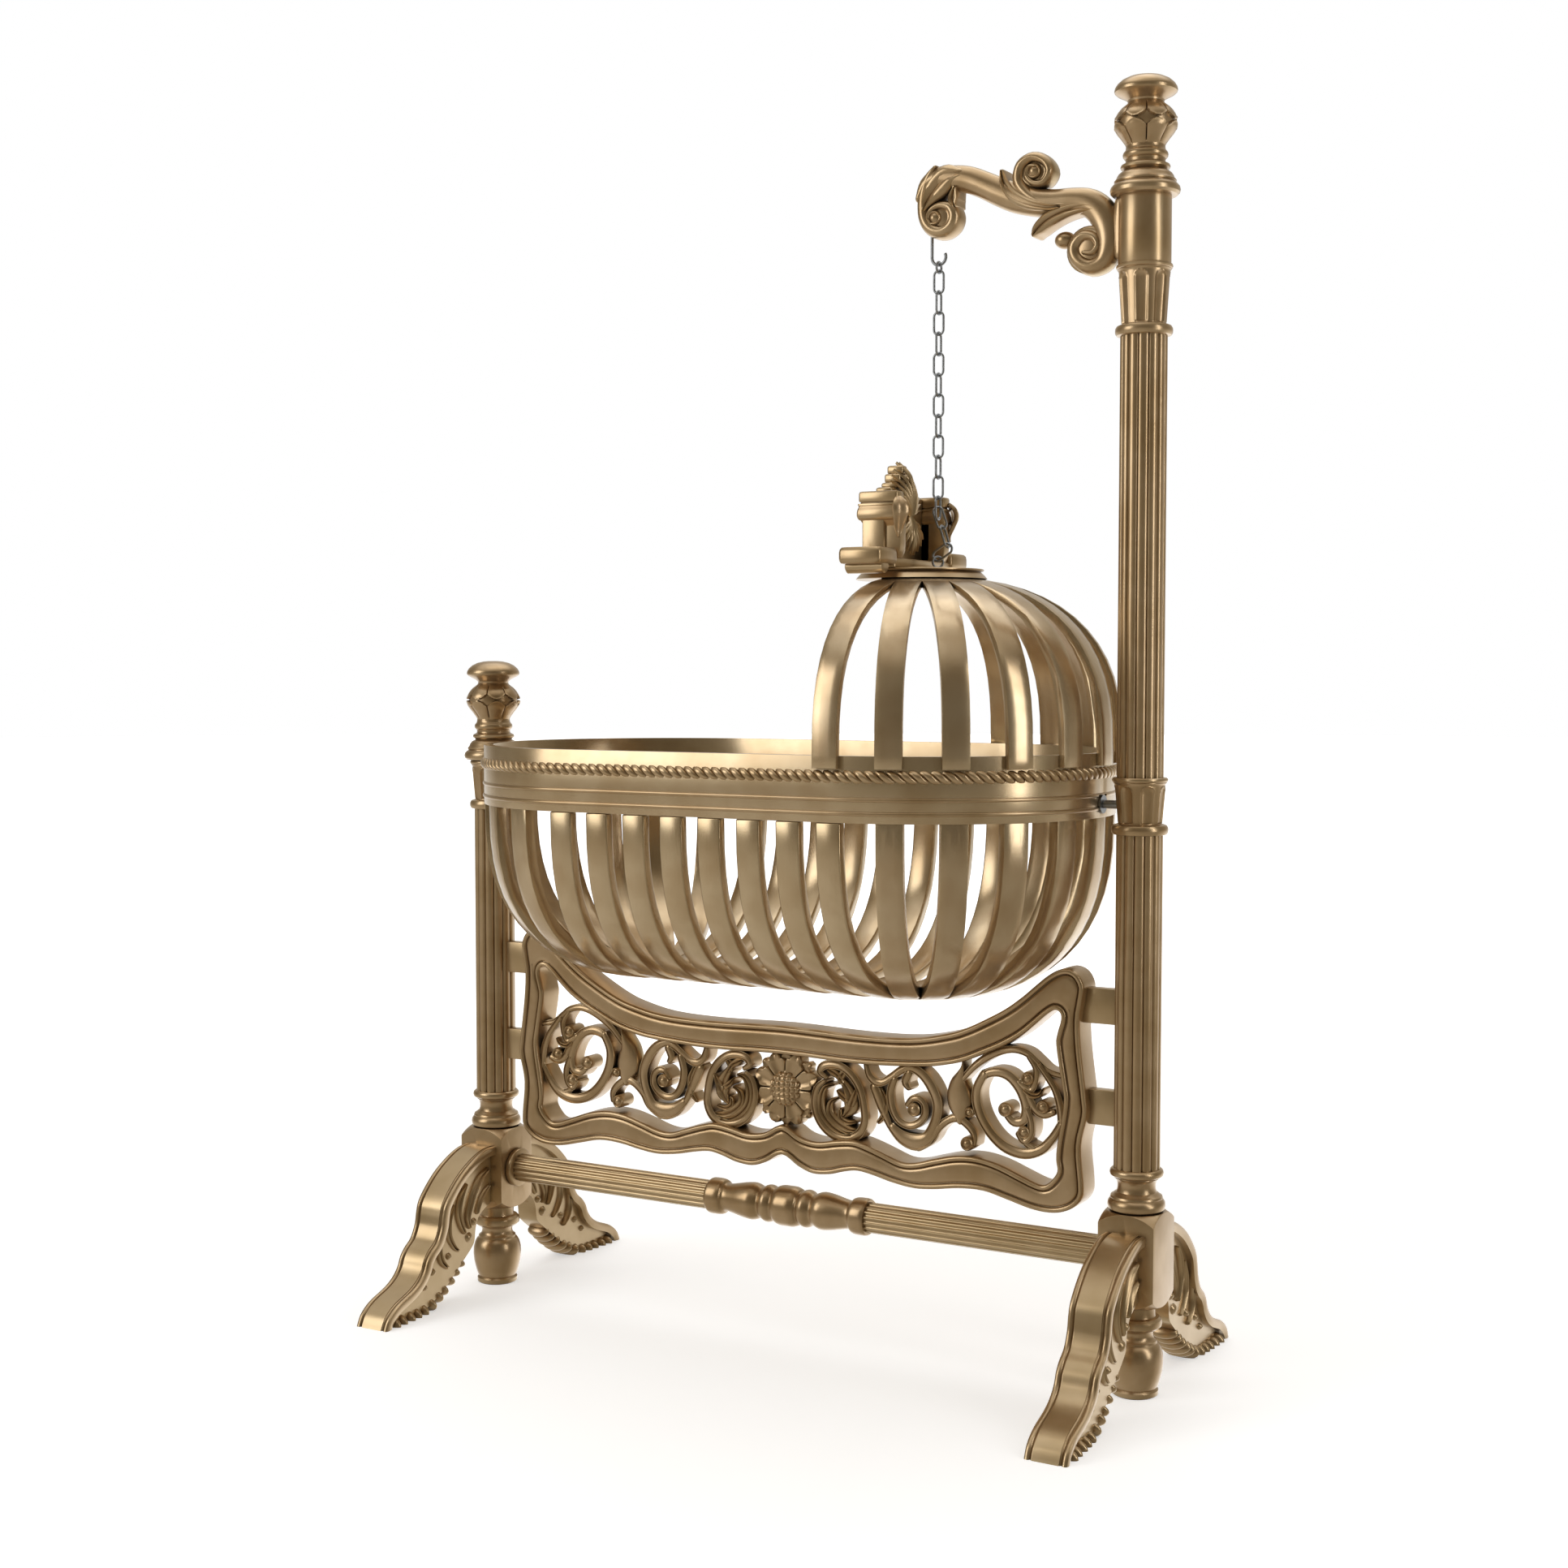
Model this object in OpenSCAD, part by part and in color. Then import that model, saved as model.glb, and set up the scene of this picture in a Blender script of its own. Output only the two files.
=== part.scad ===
// Swinging cradle on a stand. Two turned posts, four scroll legs, a turned stretcher and
// an openwork panel carry a ribbed cradle on two steel pivots. The arm on the tall post
// holds a light chain that is linked to the crest end of the cradle's hood.
// X runs along the cradle towards the tall post, Y to the rear and Z up.
// The origin is on the floor, midway between the two posts.

/* [Posts] */
// Distance between the axes of the two posts
post_span = 1128; // [1080:4:1180]
// Radius of the reeded shafts
shaft_r = 32.5; // [30:0.5:36]
// Number of reeds round each shaft
reed_count = 13; // [9:1:17]
// Height of the turned foot under each post
foot_h = 130; // [120:2:150]
// Height of the block that takes the legs and the stretcher
block_h = 132; // [124:2:150]
// Width of the block across its flat faces
block_w = 82; // [78:1:90]
// Height of the turning between the block and the shaft
base_h = 60; // [50:1:80]
// Length of each lower shaft
lower_shaft_h = 468; // [440:4:520]
// Height of the fluted cup that holds the pivot
cup_h = 80; // [76:1:100]
// Number of flutes round each cup
cup_flutes = 7; // [5:2:9]
// Height of the finial on each post
finial_h = 163; // [140:1:200]
// Length of the tall post's upper shaft
upper_shaft_h = 607; // [540:1:700]
// Height of the fluted cup under the arm
arm_cup_h = 98; // [90:1:120]
// Height of the plain collar that the arm is fixed to
collar_h = 92; // [90:1:120]

/* [Legs] */
// How far each foot reaches from the line of the posts
leg_reach = 317; // [290:1:350]
// Width of a leg along the cradle
leg_w = 62; // [50:1:70]

/* [Stretcher] */
// Radius of the fluted stretcher rods
rod_r = 22.5; // [20:0.5:26]
// Number of flutes round each rod
rod_flutes = 16; // [12:1:20]
// Radius of the middle bulge of the stretcher
bulge_r = 31; // [29:0.5:36]
// Length of the turned middle of the stretcher
baluster_len = 280; // [240:2:340]

/* [Panel] */
// Thickness of the panel's frame
panel_t = 50; // [40:1:56]
// Thickness of the carved scrollwork
scroll_t = 34; // [24:1:38]
// Gap between the stretcher's bulge and the panel
panel_gap = 19; // [12:1:30]
// Gap between the cradle's bottom and the middle of the panel's top rail
bowl_gap = 61; // [56:1:80]
// Length of the pegs that show between the panel and the posts
peg_len = 34; // [28:1:40]

/* [Cradle] */
// Half the width of the cradle over its rim band
rim_r = 284; // [272:1:292]
// Height of the rim band
rim_h = 91; // [80:1:100]
// Thickness of the rim band
rim_t = 14; // [12:0.5:18]
// Height of the pivot axis above the bottom of the rim band
pivot_rise = 19; // [17:0.5:22]
// Depth of the ribbed bowl under the rim band
bowl_depth = 273; // [240:1:280]
// Thickness of the bowl's ribs
rib_t = 16; // [12:0.5:20]
// Width of every rib
rib_w = 37.5; // [30:0.5:42]
// Number of ribs that cross the straight middle of the cradle
side_rib_count = 8; // [6:2:8]
// Diameter across the rope moulding
rope_d = 20; // [14:1:22]

/* [Hood] */
// Height of the hood's ribs above the rim band
hood_h = 252; // [220:1:280]
// Thickness of the hood's ribs
hood_rib_t = 9.5; // [8:0.5:12]
// Radius of the plate on top of the hood
plate_r = 100; // [92:1:110]
// Thickness of the plate over the crown of the ribs
plate_t = 10; // [8:1:16]
// Width of the crest along the cradle
crest_w = 68; // [50:1:72]
// Height of the crest above the plate
crest_h = 155; // [120:1:170]

/* [Pivots] */
// Diameter of the pivot pins
pin_d = 8; // [6:0.5:10]
// Free space between the rim band and each shaft
pivot_gap = 24; // [22:0.5:30]

/* [Arm and chain] */
// Distance from the tall post's axis to the chain
arm_reach = 314; // [300:1:330]
// Thickness of the arm
arm_t = 38; // [30:1:44]
// Wire diameter of the hook
hook_wire = 4.5; // [4:0.1:5]
// Wire diameter of the chain links
link_wire = 3.4; // [3:0.1:3.6]
// Width over one chain link
link_w = 18.5; // [18:0.1:20]
// Usual distance between the middles of two chain links
link_pitch = 29.5; // [27:0.5:34]

/* [Fits] */
// Clearance round dowels and pegs
fit_gap = 0.1; // [0.05:0.05:0.3]
// Running clearance round the pivot pins
run_gap = 0.05; // [0.02:0.01:0.1]
// Side play between the cradle and the stand
side_play = 0.3; // [0.2:0.1:1]

/* [Hidden] */
$fn = 64;

gold = "#9c8763";
dark_gold = "#7d694a";
steel = "#8c8f92";

// Heights up the posts
post_x = post_span / 2;
block_z = foot_h;
stretcher_z = block_z + block_h / 2;
base_z = block_z + block_h;
shaft_z = base_z + base_h;
cup_z = shaft_z + lower_shaft_h;
short_top_z = cup_z + cup_h;
arm_cup_z = short_top_z + upper_shaft_h;
collar_z = arm_cup_z + arm_cup_h;
tall_top_z = collar_z + collar_h;
pivot_z = cup_z + 41;

// Post details
collar_r = shaft_r + 3.8;
ring_r = shaft_r + 7;
reed_r = PI * shaft_r / reed_count;
flute_r = 10;
flute_depth = 3.5;

// Dowels
dowel_r = 6;
dowel_half = 20;
side_dowel_r = 5;

// Legs and stretcher
leg_top_z = base_z - 28;
flange_len = 10;
flange_r = rod_r + 8.5;
flange_x = post_x - block_w / 2;
rod_x = flange_x - flange_len;
rod_flute_r = 3.2;

// Cradle: half length, and where its round ends are centred
cradle_half = post_x - shaft_r - pivot_gap;
end_x = cradle_half - rim_r;
rim_z = pivot_z - pivot_rise;
rim_top_z = rim_z + rim_h;
bowl_z = rim_z - bowl_depth;
bowl_r = rim_r - 1;
bowl_power = 2.55;
rib_turn = 18;
side_rib_step = 2 * end_x / (side_rib_count - 1);
rope_z = rim_top_z - 28;
rope_proud = 4.5;
bead_h = 6;
bead_proud = 2;
bead_zs = [rim_z + 13, rim_z + 32];

// Hood
hood_z = rope_z + rope_d / 2 + 1;
hood_r = rim_r + hood_rib_t;
crown_z = rim_top_z + hood_h;
plate_top_z = crown_z + plate_t;
plate_low_z = crown_z - 6;

// Panel: its outline is drawn 501 wide to each side and 234 high in the middle
panel_half = post_x - shaft_r - peg_len;
panel_z = stretcher_z + bulge_r + panel_gap;
panel_kx = panel_half / 501;
panel_kz = (bowl_z - bowl_gap - panel_z) / 234;
peg_h = 50;
peg_t = 18;
peg_depth = 13;
peg_zs = [158, 303];
joint_x = 445;
rail_split = 150;
frame_reach = 520;

// Pivots
pin_r = pin_d / 2;
bush_r = pin_r + 5;
bush_flange_r = pin_r + 9;
bush_flange_t = 3;
bush_end = 4;
spacer_r = pin_r + 2;
pin_in_cup = 25;
pin_tip_x = cradle_half - rim_t + 1;

// Arm, hook and chain
chain_x = post_x - arm_reach;
arm_kx = arm_reach / 314;
hook_bend_r = 11;
hook_z = collar_z + 28;
ring_mid_r = 7.8;
ring_z = hook_z + hook_wire / 2 + link_wire / 2 + side_play - ring_mid_r;
link_r = (link_w - link_wire) / 2;
chain_top_z = ring_z - ring_mid_r + link_wire / 2;
slack_drop = 72;
slack_z = plate_top_z + slack_drop;
link_play = 0.2;
chain_run = chain_top_z - slack_z - link_wire / 2 - link_play / 2;
link_count = 2 * round(chain_run / link_pitch / 2);
pitch = floor(20 * chain_run / link_count) / 20;
link_len = pitch + 2 * link_wire + link_play;
link_straight = link_len - link_w;
eye_r = 7.8;
eye_z = plate_top_z + 10.5;
crest_x = chain_x - 20 - crest_w / 2;

// A smooth curve through points: four neighbours give the stretch between the middle two
function bend(a, b, c, d, t) = 0.5 * (2 * b + (c - a) * t + (2 * a - 5 * b + 4 * c - d) * t * t
    + (3 * b - a - 3 * c + d) * t * t * t);
function open_curve(p, n = 4) = let (e = len(p) - 1) concat(
    [for (i = [0:e - 1], k = [0:n - 1]) bend(p[max(i - 1, 0)], p[i], p[i + 1], p[min(i + 2, e)], k / n)],
    [p[e]]);
function closed_curve(p, n = 3) = let (m = len(p))
    [for (i = [0:m - 1], k = [0:n - 1]) bend(p[(i + m - 1) % m], p[i], p[(i + 1) % m], p[(i + 2) % m], k / n)];
function backwards(p) = [for (i = [len(p) - 1:-1:0]) p[i]];
function both_sides(p) = concat(p, [for (q = backwards(p)) if (q[0] != 0) [-q[0], q[1]]]);
function unit(v) = v / norm(v);

// A quarter of a squarish oval, from [r, 0] down or up to [0, h]
function oval(r, h, n = 14) = [for (i = [0:n]) let (t = 90 * i / n)
    [r * pow(max(cos(t), 0), 2 / bowl_power), h * pow(sin(t), 2 / bowl_power)]];

module at_post(side) {
    translate([side * post_x, 0, 0]) children();
}

// A round bead that stands out to radius r, h tall, with its middle at height z
module ring_bead(z, r, h) {
    rotate_extrude() translate([r - h / 2, z]) circle(d = h);
}

// A turning of height h from points [part of the height, radius beyond the shaft]
module turning(h, points) {
    rotate_extrude() polygon(concat([[0, 0]],
        [for (q = open_curve([for (p = points) [shaft_r + p[1], h * p[0]]])) q], [[0, h]]));
}

module dowel(z) {
    translate([0, 0, z - dowel_half]) cylinder(r = dowel_r, h = 2 * dowel_half);
}

module dowel_hole(z) {
    translate([0, 0, z - dowel_half]) cylinder(r = dowel_r + fit_gap, h = 2 * dowel_half);
}

module post_foot(side) {
    color(gold) at_post(side) difference() {
        union() {
            turning(foot_h, [[0, 0.5], [0.07, 0.5], [0.08, -1.5], [0.1, -1], [0.19, 4.7], [0.37, 7],
                [0.49, 4.5], [0.57, 0.5], [0.6, -3], [0.68, -7.5], [0.75, -7], [0.87, -5], [1, -5]]);
            ring_bead(foot_h * 0.8, shaft_r + 5, 17);
        }
        dowel_hole(block_z);
    }
}

module post_block(side) {
    color(gold) at_post(side) difference() {
        intersection() {
            translate([-block_w / 2, -block_w / 2, block_z]) cube([block_w, block_w, block_h]);
            translate([0, 0, stretcher_z]) sphere(r = norm([block_w / 2, block_h / 2]));
        }
        dowel_hole(block_z);
        dowel_hole(base_z);
        for (front = [-1, 1], z = leg_dowel_zs)
            translate([0, front * block_w / 2, z]) side_dowel([1, 0, 0], fit_gap);
        translate([-side * block_w / 2, 0, stretcher_z]) side_dowel([0, 1, 0], fit_gap);
    }
}

leg_dowel_zs = [stretcher_z - 26, stretcher_z + 20];

// A level dowel centred where it stands, turned about the given axis
module side_dowel(axis, gap = 0) {
    rotate(90 * axis) cylinder(r = side_dowel_r + gap, h = 2 * dowel_half, center = true);
}

module base_turning(side) {
    color(gold) at_post(side) difference() {
        translate([0, 0, base_z]) union() {
            turning(base_h, [[0, 4], [0.08, 1], [0.35, -2], [0.45, -6], [0.62, -6], [0.75, -3], [1, -3]]);
            ring_bead(base_h * 0.175, shaft_r + 8, 17);
            ring_bead(base_h * 0.9, shaft_r + 5.3, 11.9);
        }
        dowel_hole(base_z);
        dowel_hole(shaft_z);
    }
}

module reeded_shaft(z, h) {
    translate([0, 0, z]) linear_extrude(h) union() {
        circle(r = shaft_r - 2.4);
        for (i = [1:reed_count]) rotate(360 * i / reed_count) translate([shaft_r - reed_r, 0]) circle(r = reed_r);
    }
}

module lower_shaft(side) {
    color(gold) difference() {
        at_post(side) reeded_shaft(shaft_z, lower_shaft_h);
        at_post(side) dowel_hole(shaft_z);
        at_post(side) dowel_hole(cup_z);
        panel_pegs(fit_gap);
    }
}

module fluted_cup(z, h) {
    difference() {
        translate([0, 0, z]) union() {
            cylinder(r1 = shaft_r - 1.7, r2 = shaft_r + 2.5, h = h);
            ring_bead(7.5, ring_r, 15);
            ring_bead(h - 3.6, ring_r - 0.6, 7.2);
        }
        for (i = [1:cup_flutes]) rotate(360 * (i + 0.5) / cup_flutes)
            translate([shaft_r + flute_r - flute_depth, 0, 0]) {
                translate([0, 0, z + 18]) cylinder(r = flute_r, h = h - 36);
                translate([0, 0, z + h - 18]) sphere(r = flute_r);
            }
    }
}

module pivot_cup(side) {
    color(gold) at_post(side) difference() {
        rotate(90 + 90 * side) fluted_cup(cup_z, cup_h);
        dowel_hole(cup_z);
        dowel_hole(short_top_z);
        translate([-side * (shaft_r + 10), 0, pivot_z]) rotate([0, side * 90, 0])
            cylinder(r = pin_r + run_gap, h = pin_in_cup + 10 + run_gap);
    }
}

module finial(side, z) {
    color(gold) at_post(side) difference() {
        translate([0, 0, z]) union() {
            turning(finial_h, [[0, 3], [0.09, 5], [0.13, -2], [0.2, -3], [0.25, -4], [0.29, -5.5], [0.37, -5.8],
                [0.415, -5.8], [0.47, 5], [0.52, 8.5], [0.58, 9.2], [0.64, 7.5], [0.7, 1], [0.75, -5.5],
                [0.79, -8], [0.82, -5], [0.85, 8], [0.88, 10], [0.92, 8.5], [0.97, 0], [0.995, -16], [1, -26]]);
            ring_bead(finial_h * 0.052, shaft_r + 15.5, 15.5);
            ring_bead(finial_h * 0.242, shaft_r + 1.5, 8);
            ring_bead(finial_h * 0.344, shaft_r - 1.5, 9);
        }
        dowel_hole(z);
    }
}

module upper_shaft() {
    color(gold) at_post(1) difference() {
        reeded_shaft(short_top_z, upper_shaft_h);
        dowel_hole(short_top_z);
        dowel_hole(arm_cup_z);
    }
}

module arm_cup() {
    color(gold) at_post(1) difference() {
        fluted_cup(arm_cup_z, arm_cup_h);
        dowel_hole(arm_cup_z);
        dowel_hole(collar_z);
    }
}

arm_dowel_zs = [collar_z + 22, collar_z + 62];

module collar() {
    color(gold) at_post(1) difference() {
        translate([0, 0, collar_z]) cylinder(r = collar_r, h = collar_h);
        dowel_hole(collar_z);
        dowel_hole(tall_top_z);
        for (z = arm_dowel_zs) translate([-collar_r, 0, z]) side_dowel([0, 1, 0], fit_gap);
    }
}

module post_dowels() {
    color(dark_gold) {
        for (side = [-1, 1]) at_post(side) for (z = [block_z, base_z, shaft_z, cup_z, short_top_z]) dowel(z);
        at_post(1) for (z = [arm_cup_z, collar_z, tall_top_z]) dowel(z);
    }
}

// Leg, drawn as [distance from the post line, height] for a reach of 317 and a top at 234
leg_back = [[41, 234], [62, 231], [83, 224], [114, 204], [149, 182], [169, 167], [171, 150], [181, 113],
    [204, 95], [214, 87], [220, 70], [250, 47], [288, 32], [309, 18], [317, 0]];
leg_under = [[237, 0], [205, 8], [176, 20], [148, 36], [120, 57], [91, 79], [84, 90], [81, 109], [70, 128], [41, 143]];
function leg_at(p) = [block_w / 2 + (p[0] - 41) * (leg_reach - block_w / 2) / 276, p[1] * leg_top_z / 234];

module leg(side, front) {
    color(gold) at_post(side) difference() {
        scale([1, front, 1]) translate([-leg_w / 2, 0, 0]) rotate([90, 0, 90]) linear_extrude(leg_w)
            polygon([for (q = concat(open_curve(leg_back, 3), open_curve(leg_under, 3))) leg_at(q)]);
        for (z = leg_dowel_zs) translate([0, front * block_w / 2, z]) side_dowel([1, 0, 0], fit_gap);
    }
}

module leg_dowels() {
    color(dark_gold) for (side = [-1, 1], front = [-1, 1], z = leg_dowel_zs)
        at_post(side) translate([0, front * block_w / 2, z]) side_dowel([1, 0, 0]);
}

// The stretcher lies along X: turnings are drawn along Z and laid over
module along_x(x) {
    translate([x, 0, stretcher_z]) rotate([0, 90, 0]) children();
}

module stretcher_rod(side) {
    rod_len = rod_x - baluster_len / 2;
    color(gold) difference() {
        along_x(side * (rod_x + baluster_len / 2) / 2) linear_extrude(rod_len, center = true) difference() {
            circle(r = rod_r);
            for (i = [1:rod_flutes]) rotate(360 * i / rod_flutes) translate([rod_r + 1, 0]) circle(r = rod_flute_r);
        }
        stretcher_dowels(fit_gap);
    }
}

// Half of the turned middle, as [part of the half length, radius beyond the rod]
baluster_points = [[0, 8.5], [0.08, 8.2], [0.14, 5], [0.16, 2], [0.2, 5], [0.24, 6.3], [0.28, 5], [0.33, 1],
    [0.37, 3.5], [0.44, 6.3], [0.55, 4.8], [0.68, 1], [0.76, -1], [0.8, -0.5], [0.82, 3.5], [0.87, 5.5], [0.97, 5.5], [1, 3.5]];

module stretcher_baluster() {
    half = baluster_len / 2;
    right = [for (q = open_curve(baluster_points, 3)) [rod_r + q[1] * (bulge_r - rod_r) / 8.5, half * q[0]]];
    left = [for (q = backwards(right)) [q[0], -q[1]]];
    color(gold) difference() {
        along_x(0) rotate_extrude() polygon(concat([[0, -half]], left, right, [[0, half]]));
        stretcher_dowels(fit_gap);
    }
}

module stretcher_flanges() {
    color(gold) difference() {
        for (side = [-1, 1]) along_x(side * (flange_x - flange_len / 2)) cylinder(r = flange_r, h = flange_len, center = true);
        stretcher_dowels(fit_gap);
    }
}

module stretcher_dowels(gap = 0) {
    color(dark_gold) for (side = [-1, 1], x = [baluster_len / 2, flange_x])
        translate([side * x, 0, stretcher_z]) side_dowel([0, 1, 0], gap);
}

// The panel's outline and opening: right half, from the middle of the top to the middle below
panel_outer = [[0, 234], [130, 231], [220, 234], [281, 246], [312, 257], [342, 272], [372, 289], [398, 308],
    [420, 327], [438, 342], [455, 352], [471, 355], [486, 348], [495, 331], [493, 310], [489, 283], [491, 240],
    [500, 170], [501, 145], [492, 101], [496, 50], [495, 29], [484, 14], [466, 4], [444, 0], [415, 2], [377, 11],
    [340, 19], [301, 18], [263, 12], [228, 9], [192, 13], [160, 20], [132, 24], [108, 20], [83, 13], [54, 11],
    [29, 19], [0, 34]];
panel_inner = [[0, 190], [132, 187], [231, 192], [274, 198], [308, 207], [338, 220], [368, 234], [398, 252],
    [420, 270], [438, 286], [451, 294], [459, 290], [460, 280], [455, 262], [453, 243], [462, 189], [465, 160],
    [456, 103], [454, 79], [456, 62], [447, 48], [436, 40], [422, 41], [396, 50], [362, 62], [328, 68], [294, 66],
    [259, 57], [228, 48], [204, 47], [176, 56], [148, 65], [124, 70], [95, 67], [62, 61], [33, 65], [13, 76], [0, 80]];
function on_panel(p) = [p[0] * panel_kx, panel_z + p[1] * panel_kz];

module panel_shape(points) {
    polygon([for (q = closed_curve(both_sides(points), 2)) on_panel(q)]);
}

// Stands a flat drawing up in the panel's plane, t thick about the middle
module upright(t) {
    rotate([90, 0, 0]) linear_extrude(t, center = true) children();
}

// Part of the frame between two [x, z] corners of the panel's own drawing
module frame_part(low, high) {
    color(gold) upright(panel_t) intersection() {
        difference() {
            panel_shape(panel_outer);
            panel_shape(panel_inner);
        }
        translate(on_panel(low)) square(on_panel(high) - on_panel(low));
    }
}

module panel_stile(side) {
    difference() {
        scale([side, 1, 1]) frame_part([joint_x, -frame_reach], [frame_reach, frame_reach]);
        panel_pegs(fit_gap);
    }
}

module panel_pegs(gap = 0) {
    peg_start = 476 * panel_kx - gap;
    peg_end = post_x - shaft_r + peg_depth + gap;
    color(dark_gold) for (side = [-1, 1], z = peg_zs)
        translate([side * (peg_start + peg_end) / 2, 0, panel_z + z * panel_kz])
            cube([peg_end - peg_start, peg_t + 2 * gap, peg_h + 2 * gap], center = true);
}

// Scrollwork of the tall half: each stroke is a list of [x, z, width]
scroll_strokes = [
    [[56, 160, 8], [72, 184, 12], [100, 189, 13], [126, 181, 13], [143, 160, 12], [150, 133, 12], [150, 112, 12],
        [140, 90, 13], [114, 76, 16], [87, 92, 14], [67, 110, 12], [60, 130, 10], [62, 150, 9], [73, 164, 9], [88, 168, 7]],
    [[108, 84, 14], [95, 112, 18], [98, 134, 14], [112, 140, 8]],
    [[140, 108, 16], [136, 138, 20], [124, 158, 18], [104, 168, 10]],
    [[142, 186, 8], [147, 170, 11], [159, 161, 12], [172, 163, 11], [186, 172, 11], [203, 184, 12], [218, 188, 12],
        [236, 180, 14], [251, 163, 15], [261, 140, 15], [260, 120, 14], [253, 100, 15], [243, 84, 16], [224, 76, 18],
        [203, 80, 15], [184, 94, 12]],
    [[155, 152, 14], [168, 124, 14], [182, 96, 9]],
    [[190, 168, 11], [184, 148, 12], [187, 125, 12], [198, 107, 11], [215, 101, 11], [231, 107, 11], [241, 120, 11],
        [240, 135, 10], [231, 143, 10], [220, 142, 9], [212, 132, 8]],
    [[214, 180, 12], [208, 166, 12], [213, 157, 7]],
    [[229, 71, 14], [250, 84, 13], [262, 102, 12], [279, 116, 11], [295, 120, 12], [311, 111, 11], [321, 98, 10], [321, 84, 8]],
    [[337, 190, 12], [326, 168, 13], [326, 145, 14], [335, 122, 14], [352, 100, 14], [374, 85, 15], [402, 80, 15],
        [428, 89, 14], [446, 108, 12], [460, 130, 12]],
    [[327, 176, 10], [340, 190, 12], [358, 195, 13], [376, 191, 14], [391, 178, 15], [400, 161, 14], [404, 144, 14],
        [399, 128, 13], [385, 124, 12], [374, 132, 9]],
    [[299, 176, 8], [323, 202, 10], [351, 221, 11], [379, 230, 10], [403, 227, 10], [420, 215, 10], [437, 203, 9], [462, 198, 8]],
    [[424, 211, 8], [438, 194, 9], [450, 176, 10], [458, 151, 12], [460, 127, 12]],
    [[408, 222, 8], [419, 205, 9], [417, 186, 10], [411, 174, 10], [401, 177, 12], [392, 183, 10]],
    [[398, 182, 12], [407, 162, 12], [416, 147, 12], [430, 140, 12], [444, 144, 10]],
    [[405, 146, 9], [412, 127, 10], [411, 109, 10], [401, 98, 10], [392, 108, 8]],
    [[398, 100, 8], [408, 92, 9], [420, 88, 9]]];
scroll_eyes = [[223, 126, 9], [310, 84, 8.5], [314, 131, 6], [371, 141, 9], [406, 190, 8], [430, 151, 8], [401, 111, 8]];
scroll_vase = [[302, 197], [287, 174], [272, 159], [272, 135], [280, 120], [296, 118], [313, 122], [318, 139], [319, 168], [311, 179]];

scroll_slit = 0.5;

// One stroke, as wide at each point as its list says
module stroke(points) {
    mid = open_curve([for (p = points) concat(on_panel(p), p[2])], 2);
    last = len(mid) - 1;
    side = [for (i = [0:last]) let (d = mid[min(i + 1, last)] - mid[max(i - 1, 0)]) unit([-d[1], d[0]]) * mid[i][2] / 2];
    left = [for (i = [0:last]) [mid[i][0], mid[i][1]] + side[i]];
    right = [for (i = [0:last]) [mid[i][0], mid[i][1]] - side[i]];
    polygon(concat(left, backwards(right)));
    for (i = [0, last]) translate([mid[i][0], mid[i][1]]) circle(d = 1.15 * mid[i][2], $fn = 16);
}

petal_count = 8;
petal_r = 20;
flower_r = 55;

module flower_shape() {
    translate(on_panel([0, 135])) {
        circle(r = flower_r - petal_r);
        for (i = [1:petal_count]) rotate(360 * i / petal_count) translate([flower_r - petal_r, 0]) circle(r = petal_r);
    }
}

module panel_scrolls(side) {
    color(gold) scale([side, 1, 1]) upright(scroll_t) difference() {
        intersection() {
            // The strokes cross and touch, and the two offsets close the slits between them
            offset(delta = -scroll_slit) offset(delta = scroll_slit) {
                for (points = scroll_strokes) stroke(points);
                for (eye = scroll_eyes) translate(on_panel(eye)) circle(r = eye[2], $fn = 24);
                polygon([for (q = closed_curve(scroll_vase)) on_panel(q)]);
            }
            panel_shape(panel_inner);
        }
        flower_shape();
    }
}

module panel_flower() {
    dome_r = 30;
    dome_rise = 8;
    ball_r = (dome_r * dome_r + dome_rise * dome_rise) / (2 * dome_rise);
    middle = on_panel([0, 135]);
    color(gold) union() {
        upright(scroll_t) intersection() {
            flower_shape();
            panel_shape(panel_inner);
        }
        for (front = [-1, 1]) intersection() {
            translate([middle[0], front * (scroll_t / 2 + dome_rise - ball_r), middle[1]]) sphere(r = ball_r);
            translate([middle[0], front * scroll_t / 2, middle[1]]) rotate([90, 0, 0])
                cylinder(r = dome_r + 1, h = 2 * dome_rise + 2, center = true);
        }
    }
}

// Arm, drawn for a reach of 314: [distance towards the chain from the post's axis, height over the collar's foot]
arm_outline = [[29, 80], [54, 93], [73, 103], [97, 109], [119, 114], [138, 120], [164, 137], [192, 147], [219, 152],
    [250, 164], [289, 167], [306, 164], [317, 172], [327, 168], [331, 152], [342, 125], [329, 97], [302, 105],
    [274, 125], [246, 122], [227, 111], [208, 98], [192, 89], [166, 80], [163, 61], [150, 53], [138, 62], [103, 70],
    [85, 65], [75, 50], [29, 25]];
// Round parts of the arm's outline: [distance, height, radius]
arm_rounds = [[312, 100, 33], [161, 143, 25], [77, 28, 37], [120, 42, 12]];
function on_arm(p) = [post_x - p[0] * arm_kx, collar_z + p[1]];

module arm() {
    color(gold) difference() {
        upright(arm_t) {
            polygon([for (q = closed_curve(arm_outline)) on_arm(q)]);
            for (r = arm_rounds) translate(on_arm(r)) circle(r = r[2] * arm_kx);
        }
        at_post(1) translate([0, 0, collar_z - 20]) cylinder(r = collar_r, h = collar_h + 40);
        at_post(1) for (z = arm_dowel_zs) translate([-collar_r, 0, z]) side_dowel([0, 1, 0], fit_gap);
        hook_shank(fit_gap);
    }
}

module arm_dowels() {
    color(dark_gold) at_post(1) for (z = arm_dowel_zs) translate([-collar_r, 0, z]) side_dowel([0, 1, 0]);
}

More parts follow.
